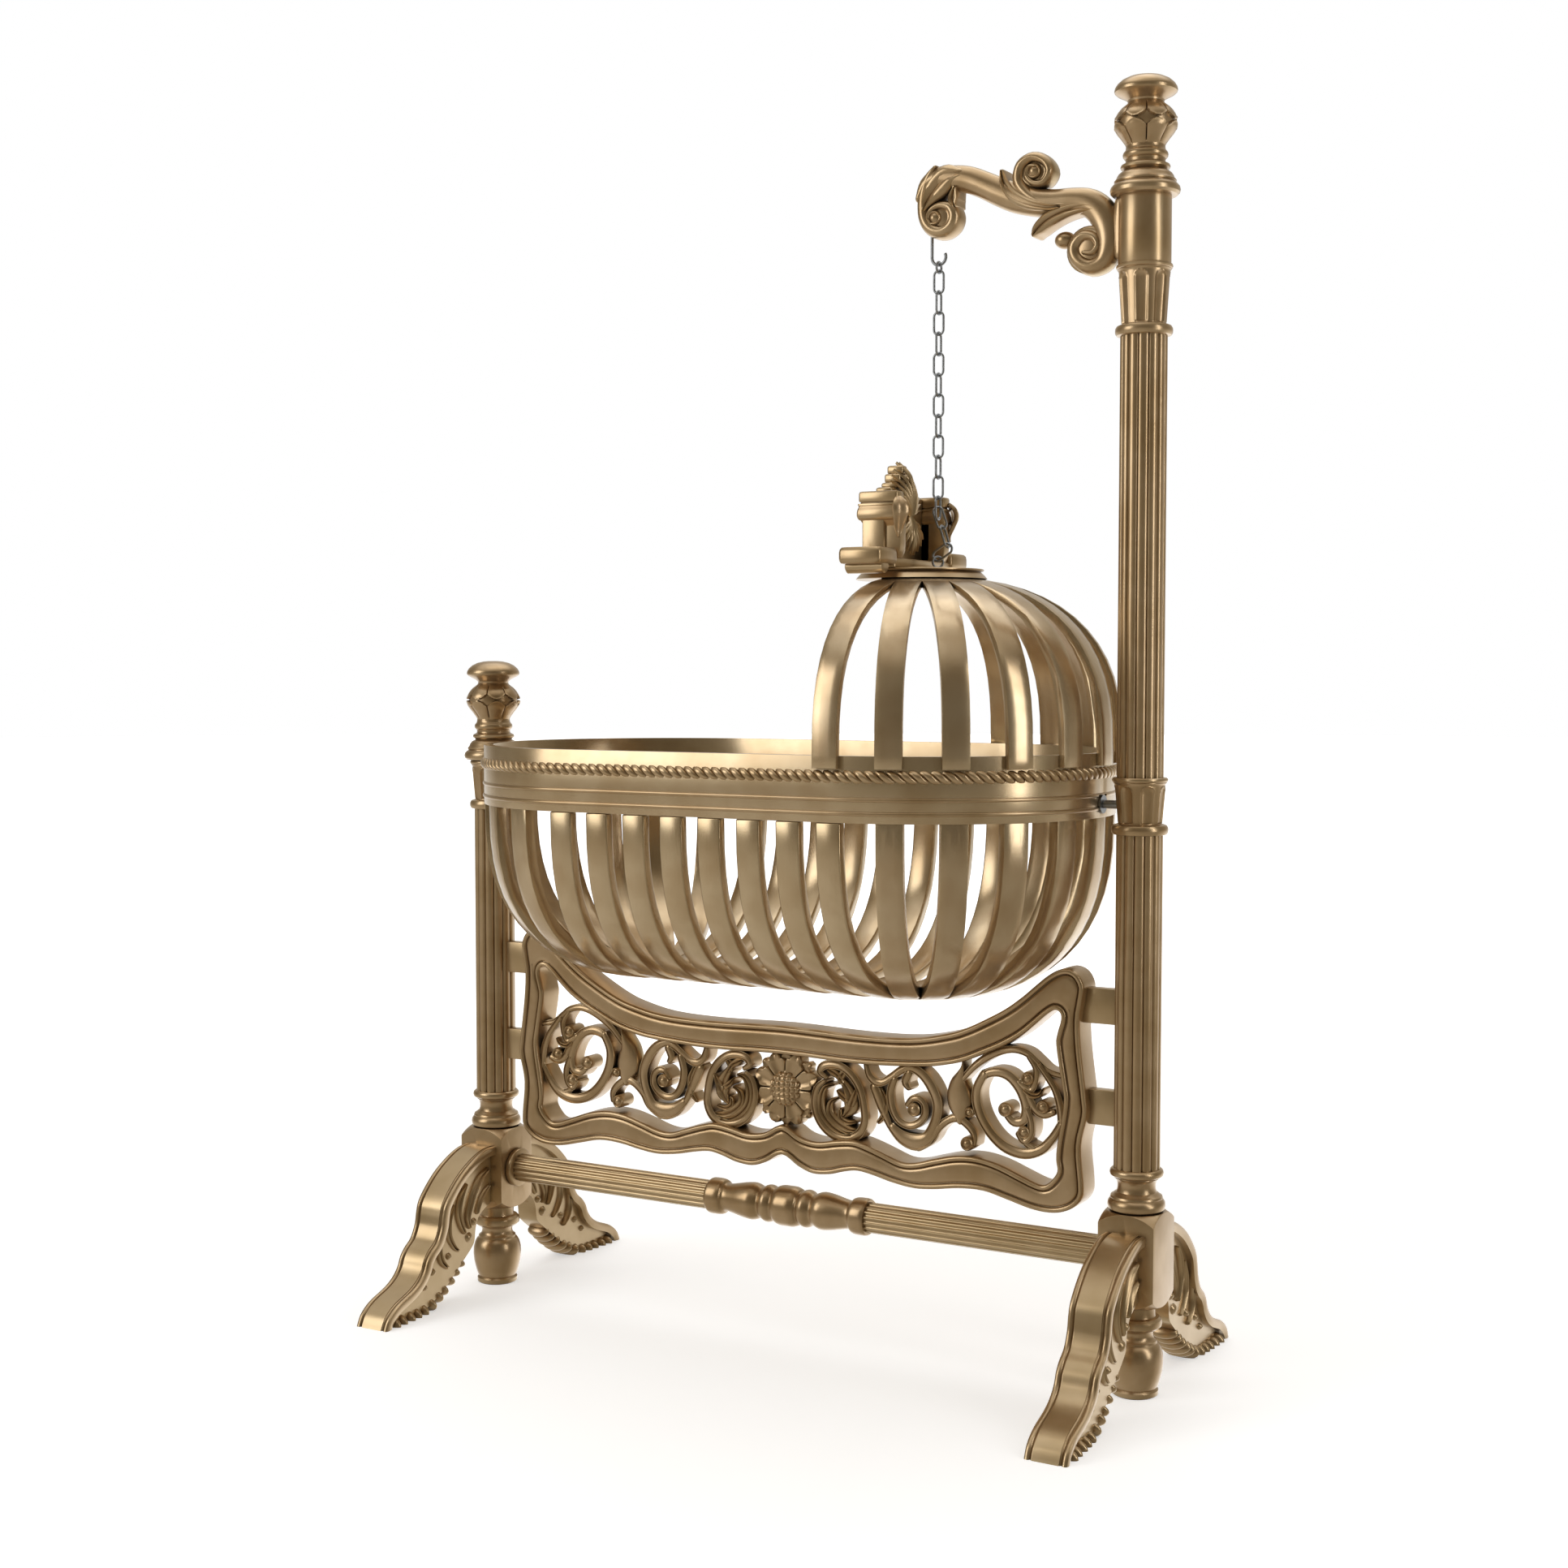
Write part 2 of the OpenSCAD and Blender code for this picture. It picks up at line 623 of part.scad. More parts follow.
module hook_shank(gap = 0) {
    translate([chain_x - hook_bend_r, 0, hook_z + hook_bend_r])
        cylinder(d = hook_wire + 2 * gap, h = 45 + gap);
}

module chain_hook() {
    color(steel) union() {
        hook_shank();
        translate([chain_x, 0, hook_z + hook_bend_r]) rotate([90, 0, 0]) rotate(180)
            rotate_extrude(angle = 205) translate([hook_bend_r, 0]) circle(d = hook_wire);
    }
}

// Pivots
module pivot_pins() {
    pin_end_x = post_x - shaft_r + pin_in_cup;
    color(steel) for (side = [-1, 1]) translate([side * (pin_tip_x + pin_end_x) / 2, 0, pivot_z]) rotate([0, 90, 0])
        cylinder(r = pin_r, h = pin_end_x - pin_tip_x, center = true);
}

module pivot_spacers() {
    spacer_x = cradle_half + bush_flange_t + side_play;
    color(steel) difference() {
        for (side = [-1, 1]) translate([side * spacer_x, 0, pivot_z]) rotate([0, side * 90, 0])
            cylinder(r = spacer_r, h = shaft_r);
        for (side = [-1, 1]) translate([side * spacer_x, 0, pivot_z]) rotate([0, side * 90, 0])
            cylinder(r = pin_r + run_gap, h = 3 * shaft_r, center = true);
        for (side = [-1, 1]) at_post(side) rotate(90 + 90 * side) fluted_cup(cup_z, cup_h);
    }
}

module pivot_bushes() {
    blind_x = cradle_half - rim_t;
    color(steel) for (side = [-1, 1]) translate([0, 0, pivot_z]) scale([side, 1, 1]) difference() {
        union() {
            translate([cradle_half, 0, 0]) rotate([0, 90, 0]) cylinder(r = bush_flange_r, h = bush_flange_t);
            translate([blind_x - bush_end, 0, 0]) rotate([0, 90, 0]) cylinder(r = bush_r, h = rim_t + bush_end + 1);
        }
        translate([blind_x, 0, 0]) rotate([0, 90, 0]) cylinder(r = pin_r + run_gap, h = rim_t + bush_flange_t + 1);
    }
}

// Sweeps a drawing of [radius, height] round the cradle's long outline
module round_cradle() {
    for (side = [-1, 1]) translate([side * end_x, 0, 0]) rotate(-side * 90)
        rotate_extrude(angle = 180) children();
    for (side = [-1, 1]) scale([1, side, 1]) translate([-end_x, 0, 0]) rotate([90, 0, 90])
        linear_extrude(2 * end_x) children();
}

module rim_band() {
    color(gold) difference() {
        round_cradle() translate([rim_r - rim_t, rim_z]) square([rim_t, rim_h]);
        translate([0, 0, pivot_z]) rotate([0, 90, 0]) cylinder(r = bush_r + run_gap, h = 3 * cradle_half, center = true);
    }
}

// The part of a round bar of height h that stands out by the given amount from the band
module half_round(z, h, proud) {
    r = (h * h / 4 + proud * proud) / (2 * proud);
    intersection() {
        translate([rim_r + proud - r, z]) circle(r = r);
        translate([rim_r, z - h]) square([proud + 1, 2 * h]);
    }
}

module rope_moulding() {
    color(gold) round_cradle() half_round(rope_z, rope_d, rope_proud);
}

// A bead with a flat crown and two slopes, h tall, that stands out by the given amount from the band
module flat_bead(z, h, proud) {
    polygon([[rim_r, z - h / 2], [rim_r + proud * 0.8, z - h / 3], [rim_r + proud, z - h / 6],
        [rim_r + proud, z + h / 6], [rim_r + proud * 0.8, z + h / 3], [rim_r, z + h / 2]]);
}

module rim_beads() {
    bush_room = 2 * bush_flange_r + 2;
    color(gold) difference() {
        for (z = bead_zs) round_cradle() flat_bead(z, bead_h, bead_proud);
        translate([0, 0, pivot_z]) cube([3 * cradle_half, bush_room, bush_room], center = true);
    }
}

bowl_outer = [for (q = oval(bowl_r, bowl_depth)) [q[0], rim_z - q[1]]];
bowl_inner = [for (q = oval(bowl_r - rib_t, bowl_depth - rib_t)) [q[0], rim_z - q[1]]];

// The straight ribs from number first to number last
module side_ribs(first, last) {
    half = concat(bowl_outer, backwards(bowl_inner));
    color(gold) for (i = [first:last]) translate([-end_x - rib_w / 2 + i * side_rib_step, 0, 0]) rotate([90, 0, 90])
        linear_extrude(rib_w) {
            polygon(half);
            polygon([for (q = half) [-q[0], q[1]]]);
        }
}

// Ribs that fan out from one point, count to each side of the middle one
module rib_fan(count, reach) {
    for (i = [-count:count]) rotate(i * rib_turn) translate([0, -rib_w / 2]) square([reach, rib_w]);
}

module end_ribs(side) {
    start = end_x + rib_w / 2;
    color(gold) scale([side, 1, 1]) intersection() {
        translate([end_x, 0, 0]) rotate_extrude() polygon(concat(bowl_outer, backwards(bowl_inner)));
        translate([end_x, 0, bowl_z - 1]) linear_extrude(bowl_depth + 2) rib_fan(4, rim_r + rib_w);
        translate([start, -rim_r, bowl_z - 1]) cube([rim_r, 2 * rim_r, bowl_depth + 2]);
    }
}

hood_outer = concat([[hood_r, hood_z]], [for (q = oval(hood_r, hood_h)) [q[0], rim_top_z + q[1]]]);
hood_inner = concat([[rim_r, hood_z]], [for (q = oval(rim_r, hood_h - hood_rib_t)) [q[0], rim_top_z + q[1]]]);

module hood_ribs() {
    color(gold) difference() {
        intersection() {
            translate([end_x, 0, 0]) rotate_extrude() polygon(concat(hood_outer, backwards(hood_inner)));
            translate([end_x, 0, hood_z - 1]) linear_extrude(crown_z - hood_z + 2) rib_fan(5, rim_r + rib_w);
        }
        // The last ribs lie against the band where it runs straight
        translate([end_x - rib_w, -rim_r, hood_z - 2]) cube([rib_w, 2 * rim_r, rim_top_z - hood_z + 2]);
    }
}

module hood_plate() {
    color(gold) difference() {
        translate([end_x, 0, plate_low_z]) cylinder(r = plate_r, h = plate_top_z - plate_low_z);
        translate([end_x, 0, 0]) rotate_extrude() polygon(concat([[0, hood_z]], hood_outer));
    }
}

// Crest on the hood's plate; heights are parts of crest_h
crest_foot_h = crest_h * 0.18;
crest_board_h = crest_h * 0.265;
crest_cap_h = crest_h * 0.265;
crest_foot_z = plate_top_z;
crest_board_z = crest_foot_z + crest_foot_h;
crest_cap_z = crest_board_z + crest_board_h;
crest_steps_z = crest_cap_z + crest_cap_h;
foot_half = 139;
board_half = 74;
cap_half = 88;

// Extrudes a drawing of [y, z] over the crest's width, less inset on each side
module crest_slab(inset = 0) {
    translate([crest_x - crest_w / 2 + inset, 0, 0]) rotate([90, 0, 90]) linear_extrude(crest_w - 2 * inset) children();
}

module crest_foot() {
    r = crest_foot_h / 2;
    color(gold) crest_slab() difference() {
        union() {
            translate([-foot_half + r, crest_foot_z]) square([2 * (foot_half - r), crest_foot_h]);
            for (side = [-1, 1]) translate([side * (foot_half - r), crest_foot_z + r]) circle(r = r);
        }
        for (side = [-1, 1]) translate([side * (plate_r + 12), crest_foot_z - 7]) circle(r = 18);
    }
}

module crest_board() {
    color(gold) crest_slab(3) difference() {
        translate([-board_half - 14, crest_board_z]) square([2 * board_half + 28, crest_board_h]);
        for (side = [-1, 1]) translate([side * (board_half + 24), crest_board_z + crest_board_h / 2])
            circle(r = 24);
    }
}

module crest_cap() {
    lip = crest_cap_h * 0.6;
    color(gold) union() {
        crest_slab() translate([-cap_half, crest_cap_z]) square([2 * cap_half, lip]);
        crest_slab(3) translate([-cap_half + 3, crest_cap_z + lip]) square([2 * cap_half - 6, crest_cap_h - lip]);
    }
}

module crest_steps() {
    step_h = (plate_top_z + crest_h - crest_steps_z) / 4;
    color(gold) for (i = [0:3]) crest_slab(12 + 3 * i) translate([-48 + 12 * i, crest_steps_z + i * step_h])
        square([96 - 24 * i, step_h]);
}

// Leaf that lies on the crest's tall-post face
module crest_plume() {
    plume = [[0, 0], [22, 4], [30, 25], [27, 52], [48, 78], [40, 95], [22, 118], [8, 140], [0, 153]];
    color(gold) translate([crest_x + crest_w / 2, 0, crest_board_z]) rotate([90, 0, 90]) linear_extrude(7)
        polygon([for (q = closed_curve(both_sides(plume))) [q[0], q[1] * (crest_h - crest_foot_h) / 153]]);
}

// One chain link that stands along Z about its middle, broad in the XZ plane
module chain_link() {
    for (turn = [0, 180]) rotate([0, turn, 0]) {
        translate([0, 0, link_straight / 2]) rotate([90, 0, 0]) rotate_extrude(angle = 180)
            translate([link_r, 0]) circle(d = link_wire);
        translate([link_r, 0, -link_straight / 2]) cylinder(d = link_wire, h = link_straight);
    }
}

// A link given by the middle of its upper bow, its lean towards the tall post and its turn
module hung_link(x, z, lean, turn) {
    translate([x, 0, z]) rotate([0, -lean, 0]) rotate(turn) translate([0, 0, -link_straight / 2]) chain_link();
}

module chain_ring() {
    color(steel) translate([chain_x, 0, ring_z]) rotate([0, 90, 0]) rotate_extrude()
        translate([ring_mid_r, 0]) circle(d = link_wire);
}

module chain_links() {
    first_z = chain_top_z + link_wire + link_play / 2 - link_len / 2;
    color(steel) for (i = [0:link_count - 1]) translate([chain_x, 0, first_z - i * pitch]) rotate(90 * (i % 2)) chain_link();
}

// The last links hang slack: [distance from the chain, height over the plate, lean, turn]
slack_rows = [[0, 83, 20, 0], [8.5, 55.8, 18, 90], [15, 29.5, -58, 0]];

module slack_links() {
    color(steel) for (s = slack_rows) hung_link(chain_x + s[0], plate_top_z + s[1], s[2], s[3]);
}

module chain_eye() {
    color(steel) union() {
        translate([chain_x, 0, eye_z]) rotate(45) rotate([90, 0, 0]) rotate_extrude()
            translate([eye_r, 0]) circle(d = link_wire);
        translate([chain_x, 0, plate_top_z]) cylinder(d = link_wire, h = eye_z - eye_r - plate_top_z);
        translate([chain_x, 0, plate_top_z]) cylinder(r = 5, h = 1.5);
    }
}

post_foot(-1);  // short_foot
post_block(-1);  // short_block
base_turning(-1);  // short_base_turning
lower_shaft(-1);  // short_lower_shaft
pivot_cup(-1);  // short_cup
finial(-1, short_top_z);  // short_finial
post_foot(1);  // tall_foot
post_block(1);  // tall_block
base_turning(1);  // tall_base_turning
lower_shaft(1);  // tall_lower_shaft
pivot_cup(1);  // tall_cup
upper_shaft();  // tall_upper_shaft
arm_cup();  // tall_arm_cup
collar();  // tall_collar
finial(1, tall_top_z);  // tall_finial
post_dowels();
leg(-1, -1);  // short_front_leg
leg(-1, 1);  // short_rear_leg
leg(1, -1);  // tall_front_leg
leg(1, 1);  // tall_rear_leg
leg_dowels();
stretcher_rod(-1);  // short_stretcher_rod
stretcher_rod(1);  // tall_stretcher_rod
stretcher_baluster();
stretcher_flanges();
stretcher_dowels();
frame_part([-joint_x, rail_split], [joint_x, frame_reach]);  // panel_top_rail
frame_part([-joint_x, -frame_reach], [joint_x, rail_split]);  // panel_bottom_rail
panel_stile(-1);  // panel_short_stile
panel_stile(1);  // panel_tall_stile
panel_scrolls(-1);  // panel_short_scrolls
panel_scrolls(1);  // panel_tall_scrolls
panel_flower();
panel_pegs();
arm();
arm_dowels();
chain_hook();
pivot_pins();
pivot_spacers();
pivot_bushes();
rim_band();
rope_moulding();
rim_beads();
side_ribs(0, side_rib_count / 2 - 1);  // foot_side_ribs
side_ribs(side_rib_count / 2, side_rib_count - 1);  // head_side_ribs
end_ribs(-1);  // foot_end_ribs
end_ribs(1);  // head_end_ribs
hood_ribs();
hood_plate();
crest_foot();
crest_board();
crest_cap();
crest_steps();
crest_plume();
chain_eye();
slack_links();
chain_ring();
chain_links();
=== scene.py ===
"""The looks of a swinging cradle on its stand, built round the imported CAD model."""

import logging
from collections.abc import Callable, Iterable, Sequence
from dataclasses import dataclass
from enum import Enum
from math import asin, atan2, cos, exp, floor, hypot, pi, radians, sin, sqrt

import bmesh
import bpy
from mathutils import Matrix, Vector


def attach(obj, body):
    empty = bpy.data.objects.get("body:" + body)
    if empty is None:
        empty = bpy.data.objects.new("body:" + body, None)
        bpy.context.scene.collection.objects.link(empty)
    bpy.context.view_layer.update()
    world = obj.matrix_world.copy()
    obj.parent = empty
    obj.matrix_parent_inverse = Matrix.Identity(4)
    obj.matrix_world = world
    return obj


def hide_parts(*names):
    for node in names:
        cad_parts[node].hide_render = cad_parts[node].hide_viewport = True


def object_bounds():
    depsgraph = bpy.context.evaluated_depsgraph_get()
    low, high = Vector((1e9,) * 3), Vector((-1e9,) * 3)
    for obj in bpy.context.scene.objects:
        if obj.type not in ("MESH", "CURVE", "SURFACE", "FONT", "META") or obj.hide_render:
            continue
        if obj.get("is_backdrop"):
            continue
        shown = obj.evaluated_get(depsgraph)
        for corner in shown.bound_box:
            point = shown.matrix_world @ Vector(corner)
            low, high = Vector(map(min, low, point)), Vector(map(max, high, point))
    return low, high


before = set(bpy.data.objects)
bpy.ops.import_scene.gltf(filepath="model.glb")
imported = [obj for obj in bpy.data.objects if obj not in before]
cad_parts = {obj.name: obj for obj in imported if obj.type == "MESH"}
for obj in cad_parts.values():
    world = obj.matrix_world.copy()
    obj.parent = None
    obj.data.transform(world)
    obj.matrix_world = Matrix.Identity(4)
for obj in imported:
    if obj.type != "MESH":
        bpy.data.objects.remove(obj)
CAD_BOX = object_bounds()

log = logging.getLogger("cradle")

MM = 0.001
TURN = 2 * pi
FLAT_ANGLE = radians(0.4)
SHARP_ANGLE = radians(28)
Point = tuple[float, ...]
Points = tuple[Point, ...]
Place = Callable[[Point], Vector]
Mesh = bmesh.types.BMesh
Socket = bpy.types.NodeSocket

# Sizes that the pieces share with the CAD model, in metres
POST_X = 564 * MM
SHAFT_R = 32.5 * MM
BASE_Z, SHAFT_Z, CUP_Z, SHORT_TOP_Z = 262 * MM, 322 * MM, 790 * MM, 870 * MM
ARM_CUP_Z, COLLAR_Z, TALL_TOP_Z = 1477 * MM, 1575 * MM, 1667 * MM
END_X = 223.5 * MM
ROPE_Z = 875 * MM
PLATE_TOP_Z = 1165 * MM


class Body(Enum):
    """The CAD bodies that the pieces ride on."""

    STAND = "stand"
    CRADLE = "cradle"
    CHAIN = "chain"


class Slot(Enum):
    """The record's material slots."""

    WOOD = "lacquered_wood"
    STEEL = "steel"


class Side(Enum):
    """The two ends of the stand."""

    SHORT = -1
    TALL = 1

    @property
    def label(self) -> str:
        """The side's name as the CAD nodes have it."""
        return self.name.lower()


# ---------------------------------------------------------------- finishes


def linear(hex_colour: str) -> Point:
    """Turns an sRGB hex colour into Blender's linear red, green, blue and alpha."""
    parts = [int(hex_colour[i : i + 2], 16) / 255 for i in (1, 3, 5)]
    return *(p / 12.92 if p <= 0.04045 else ((p + 0.055) / 1.055) ** 2.4 for p in parts), 1.0


@dataclass(frozen=True)
class Graph:
    """A node tree, with a short way to add each kind of node that the finishes use."""

    tree: bpy.types.NodeTree

    def add(self, kind: str, settings: dict | None = None, **inputs: object) -> bpy.types.Node:
        """Adds one node, sets it and joins its inputs.

        Args:
            kind: Blender's name for the kind of node, after "ShaderNode".
            settings: Attributes of the node itself.
            **inputs: An input's name, with _ for a space, and the output or value that it takes. A name such as i2
                is the input with that number.

        Returns:
            The new node.
        """
        node = self.tree.nodes.new(f"ShaderNode{kind}")
        for key, value in (settings or {}).items():
            setattr(node, key, value)
        for key, value in inputs.items():
            numbered = key[0] == "i" and key[1:].isdigit()
            socket = node.inputs[int(key[1:])] if numbered else node.inputs[key.replace("_", " ")]
            if isinstance(value, Socket):
                self.tree.links.new(value, socket)
            else:
                socket.default_value = value
        return node

    def place(self) -> Socket:
        """Returns where a point lies on its object."""
        return self.add("TexCoord").outputs["Object"]

    def noise(self, place: Socket, size: float, detail: float) -> Socket:
        """Returns noise with lumps of that size."""
        return self.add("TexNoise", Vector=place, Scale=1 / size, Detail=detail).outputs["Fac"]

    def mix(self, share: Socket, first: Socket | str, second: str) -> Socket:
        """Mixes a colour with a hex colour, by the second one's share."""
        under = linear(first) if isinstance(first, str) else first
        return self.add("Mix", {"data_type": "RGBA"}, i0=share, i6=under, i7=linear(second)).outputs["Result"]

    def spread(self, value: Socket, to: Point, start: Point = (0.0, 1.0), kind: str = "LINEAR") -> Socket:
        """Maps a value from one range onto another.

        Args:
            value: The value.
            to: The range that it is mapped onto.
            start: The range that it comes from.
            kind: Blender's name for the kind of interpolation.

        Returns:
            The mapped value, which stays in its range.
        """
        return self.add(
            "MapRange", {"interpolation_type": kind}, Value=value,
            From_Min=start[0], From_Max=start[1], To_Min=to[0], To_Max=to[1],
        ).outputs["Result"]

    def ramp(self, value: Socket, stops: Sequence[Point]) -> Socket:
        """Runs a value through a grey colour ramp.

        Args:
            value: The value, from 0 to 1.
            stops: Pairs of place and brightness, both from 0 to 1.

        Returns:
            The brightness.
        """
        node = self.add("ValToRGB", Fac=value)
        ramp = node.color_ramp
        while len(ramp.elements) < len(stops):
            ramp.elements.new(0.5)
        for element, (place, grey) in zip(ramp.elements, stops):
            element.position = place
            element.color = (grey, grey, grey, 1)
        return node.outputs["Color"]


@dataclass(frozen=True)
class Finish:
    """What every finish has: a name and a way to make its material once."""

    name: str

    def inputs(self, graph: Graph) -> dict[str, object]:
        """Adds the finish's nodes, and returns what its shader's inputs take."""
        raise NotImplementedError

    def material(self) -> bpy.types.Material:
        """Makes the finish's material the first time that it is asked for.

        Returns:
            The material.
        """
        made = bpy.data.materials.get(self.name)
        if made is None:
            made = bpy.data.materials.new(self.name)
            made.use_nodes = True
            made.node_tree.nodes.clear()
            graph = Graph(made.node_tree)
            shader = graph.add("BsdfPrincipled", **self.inputs(graph))
            graph.add("OutputMaterial", Surface=shader.outputs["BSDF"])
        return made


@dataclass(frozen=True)
class GiltLacquer(Finish):
    """Carved beech under sprayed champagne-gold metallic lacquer.

    Fine metal flake gives it a broad satin glow. Painted shade darkens the creases and hollows towards a dark brown,
    and a painted highlight makes sharp edges paler.
    """

    base: str = "#c8ad88"
    cloud: str = "#b4976f"
    # painted shade: the dark brown that creases and hollows are darkened towards
    painted_crease_shade: str = "#35260f"
    # painted highlight: the pale gold that sharp edges are made towards
    painted_edge_highlight: str = "#dcc79c"
    metallic: float = 0.9
    roughness: float = 0.3
    coat: float = 0.35
    coat_roughness: float = 0.2
    # how far ambient occlusion looks for the painted shade in the creases
    crease_shade_reach: float = 12 * MM
    cloud_size: float = 60 * MM
    flake_size: float = 1.6 * MM  # real flake is finer, and is drawn as coarse as it needs to show
    flake_depth: float = 0.05 * MM
    cloud_stops: Points = ((0.35, 0), (0.68, 1))
    edge_highlight_stops: Points = ((0.52, 0), (0.62, 0.55))
    crease_shade_stops: Points = ((0.2, 0.8), (0.5, 0.24), (0.82, 0))

    def inputs(self, graph: Graph) -> dict[str, object]:
        """Adds the clouded gold, the painted shade in the creases, the painted highlight on the sharp edges and the
        flake.

        Args:
            graph: The material's node tree.

        Returns:
            What the shader's inputs take.
        """
        place = graph.place()
        clouds = graph.ramp(graph.noise(place, self.cloud_size, 3.0), self.cloud_stops)
        # painted highlight: sharp edges, found by pointiness, are made paler as if they caught the light
        edges = graph.ramp(graph.add("NewGeometry").outputs["Pointiness"], self.edge_highlight_stops)
        # painted shade: ambient occlusion darkens creases and hollows, where shade falls, towards the dark brown
        shade = graph.add("AmbientOcclusion", {"samples": 16, "only_local": False}, Distance=self.crease_shade_reach)
        creases = graph.ramp(shade.outputs["AO"], self.crease_shade_stops)
        clouded_and_highlit = graph.mix(edges, graph.mix(clouds, self.base, self.cloud), self.painted_edge_highlight)
        flake = graph.noise(place, self.flake_size, 4.0)
        bump = graph.add("Bump", Height=flake, Strength=0.02, Distance=self.flake_depth)
        return {
            "Base_Color": graph.mix(creases, clouded_and_highlit, self.painted_crease_shade),
            "Roughness": graph.spread(flake, (self.roughness - 0.02, self.roughness + 0.03)),
            "Normal": bump.outputs["Normal"],
            "Metallic": self.metallic,
            "Coat_Weight": self.coat,
            "Coat_Roughness": self.coat_roughness,
        }


@dataclass(frozen=True)
class BareBeech(Finish):
    """Unfinished beech dowel, turned along the grain: pale, dry and finely streaked."""

    pale: str = "#c9a679"
    dark: str = "#a98355"
    grain: float = 3 * MM
    grain_run: Point = (1.0, 1.0, 0.08)

    def inputs(self, graph: Graph) -> dict[str, object]:
        """Adds the streaks of the grain."""
        drawn = graph.add("Mapping", Vector=graph.place(), Scale=self.grain_run).outputs["Vector"]
        return {"Base_Color": graph.mix(graph.noise(drawn, self.grain, 4.0), self.pale, self.dark), "Roughness": 0.7}


@dataclass(frozen=True)
class ZincSteel(Finish):
    """Zinc-plated steel wire: cool grey, half bright, with faint cloudy spangle."""

    pale: str = "#b9bdc1"
    dark: str = "#8d9297"
    spangle: float = 5 * MM

    def inputs(self, graph: Graph) -> dict[str, object]:
        """Adds the spangle to the colour and the gloss.

        Args:
            graph: The material's node tree.

        Returns:
            What the shader's inputs take.
        """
        clouds = graph.noise(graph.place(), self.spangle, 3.0)
        return {
            "Base_Color": graph.mix(clouds, self.pale, self.dark),
            "Roughness": graph.spread(clouds, (0.22, 0.42)),
            "Metallic": 1.0,
        }


@dataclass(frozen=True)
class StudioPaint(Finish):
    """The studio's matt white floor, with a painted glow that brightens with distance so that it fades into the white
    behind it.
    """

    paint: str = "#f1f1f2"
    # painted light: how strongly the floor glows near the middle
    glow: float = 0.5
    fade: Point = (1.2, 3.4)
    roller: float = 5 * MM

    def inputs(self, graph: Graph) -> dict[str, object]:
        """Adds the painted glow, which brightens with distance, and the faint roller texture.

        Args:
            graph: The material's node tree.

        Returns:
            What the shader's inputs take.
        """
        place = graph.place()
        away = graph.add("VectorMath", {"operation": "LENGTH"}, i0=place).outputs["Value"]
        return {
            "Base_Color": linear(self.paint),
            "Roughness": graph.spread(graph.noise(place, self.roller, 2.0), (0.75, 0.9)),
            "Emission_Color": (1, 1, 1, 1),
            # painted light: the floor glows, more strongly further from the middle
            "Emission_Strength": graph.spread(away, (self.glow, 1.0), self.fade, "SMOOTHSTEP"),
        }


GILT = GiltLacquer("champagne_gold_lacquer")
SATIN_GILT = GiltLacquer(
    "champagne_gold_lacquer_on_flat_strips", base="#d2bc9a", cloud="#c0a681", crease_shade_reach=9 * MM, roughness=0.24
)
FINE_GILT = GiltLacquer("champagne_gold_lacquer_on_fine_carving", crease_shade_reach=5 * MM)
BEECH = BareBeech("bare_turned_beech")
STEEL = ZincSteel("zinc_plated_steel")
FLOOR = StudioPaint("matt_white_studio_floor")


# ---------------------------------------------------------------- shaping


def mm(points: Iterable[Sequence[float]]) -> list[Point]:
    """Turns points drawn in millimetres into metres."""
    return [tuple(n * MM for n in p) for p in points]


def smooth_curve(points: Sequence[Point], steps: int, closed: bool = False) -> list[Vector]:
    """Runs a smooth curve through points, as the CAD model's own curves run.

    Args:
        points: Two or more points of the same dimension.
        steps: The number of stretches between two points.
        closed: Whether the curve comes back to its first point.

    Returns:
        The points of the curve.
    """
    count = len(points)

    def at(i: int) -> Vector:
        """The point with that number, past the ends too."""
        return Vector(points[i % count] if closed else points[min(max(i, 0), count - 1)])

    made = []
    for i in range(count if closed else count - 1):
        a, b, c, d = (at(i + k) for k in (-1, 0, 1, 2))
        for k in range(steps):
            t = k / steps
            made.append(
                0.5 * (2 * b + (c - a) * t + (2 * a - 5 * b + 4 * c - d) * t * t + (3 * b - a - 3 * c + d) * t**3)
            )
    return made if closed else made + [at(count - 1)]


def spun(profile: Sequence[Point], steps: int = 96) -> Mesh:
    """Turns a profile about Z.

    Args:
        profile: Points of (radius, height), from one pole to the other.
        steps: The number of steps round.

    Returns:
        The closed turning.
    """
    bm = bmesh.new()
    verts = [bm.verts.new((max(p[0], 0), 0, p[1])) for p in profile]
    edges = [bm.edges.new(pair) for pair in zip(verts, verts[1:])]
    bmesh.ops.spin(
        bm, geom=verts + edges, axis=(0, 0, 1), cent=(0, 0, 0), dvec=(0, 0, 0),
        angle=TURN, steps=steps, use_merge=True, use_duplicate=False,
    )
    bmesh.ops.remove_doubles(bm, verts=bm.verts, dist=1e-6)
    bmesh.ops.recalc_face_normals(bm, faces=bm.faces)
    return bm


def carved(profile: Sequence[Point], steps: int, relief: Callable[[Point], float]) -> Mesh:
    """Turns a profile about Z, and raises or sinks its surface.

    Args:
        profile: Points of (radius, height), from one pole to the other.
        steps: The number of steps round.
        relief: How far a point stands out that was turned at an angle, a radius and a height.

    Returns:
        The carved turning.
    """
    bm = spun(profile, steps)
    for v in bm.verts:
        radius = hypot(v.co.x, v.co.y)
        if radius:
            grow = 1 + relief((atan2(v.co.y, v.co.x), radius, v.co.z)) / radius
            v.co = (v.co.x * grow, v.co.y * grow, v.co.z)
    return bm


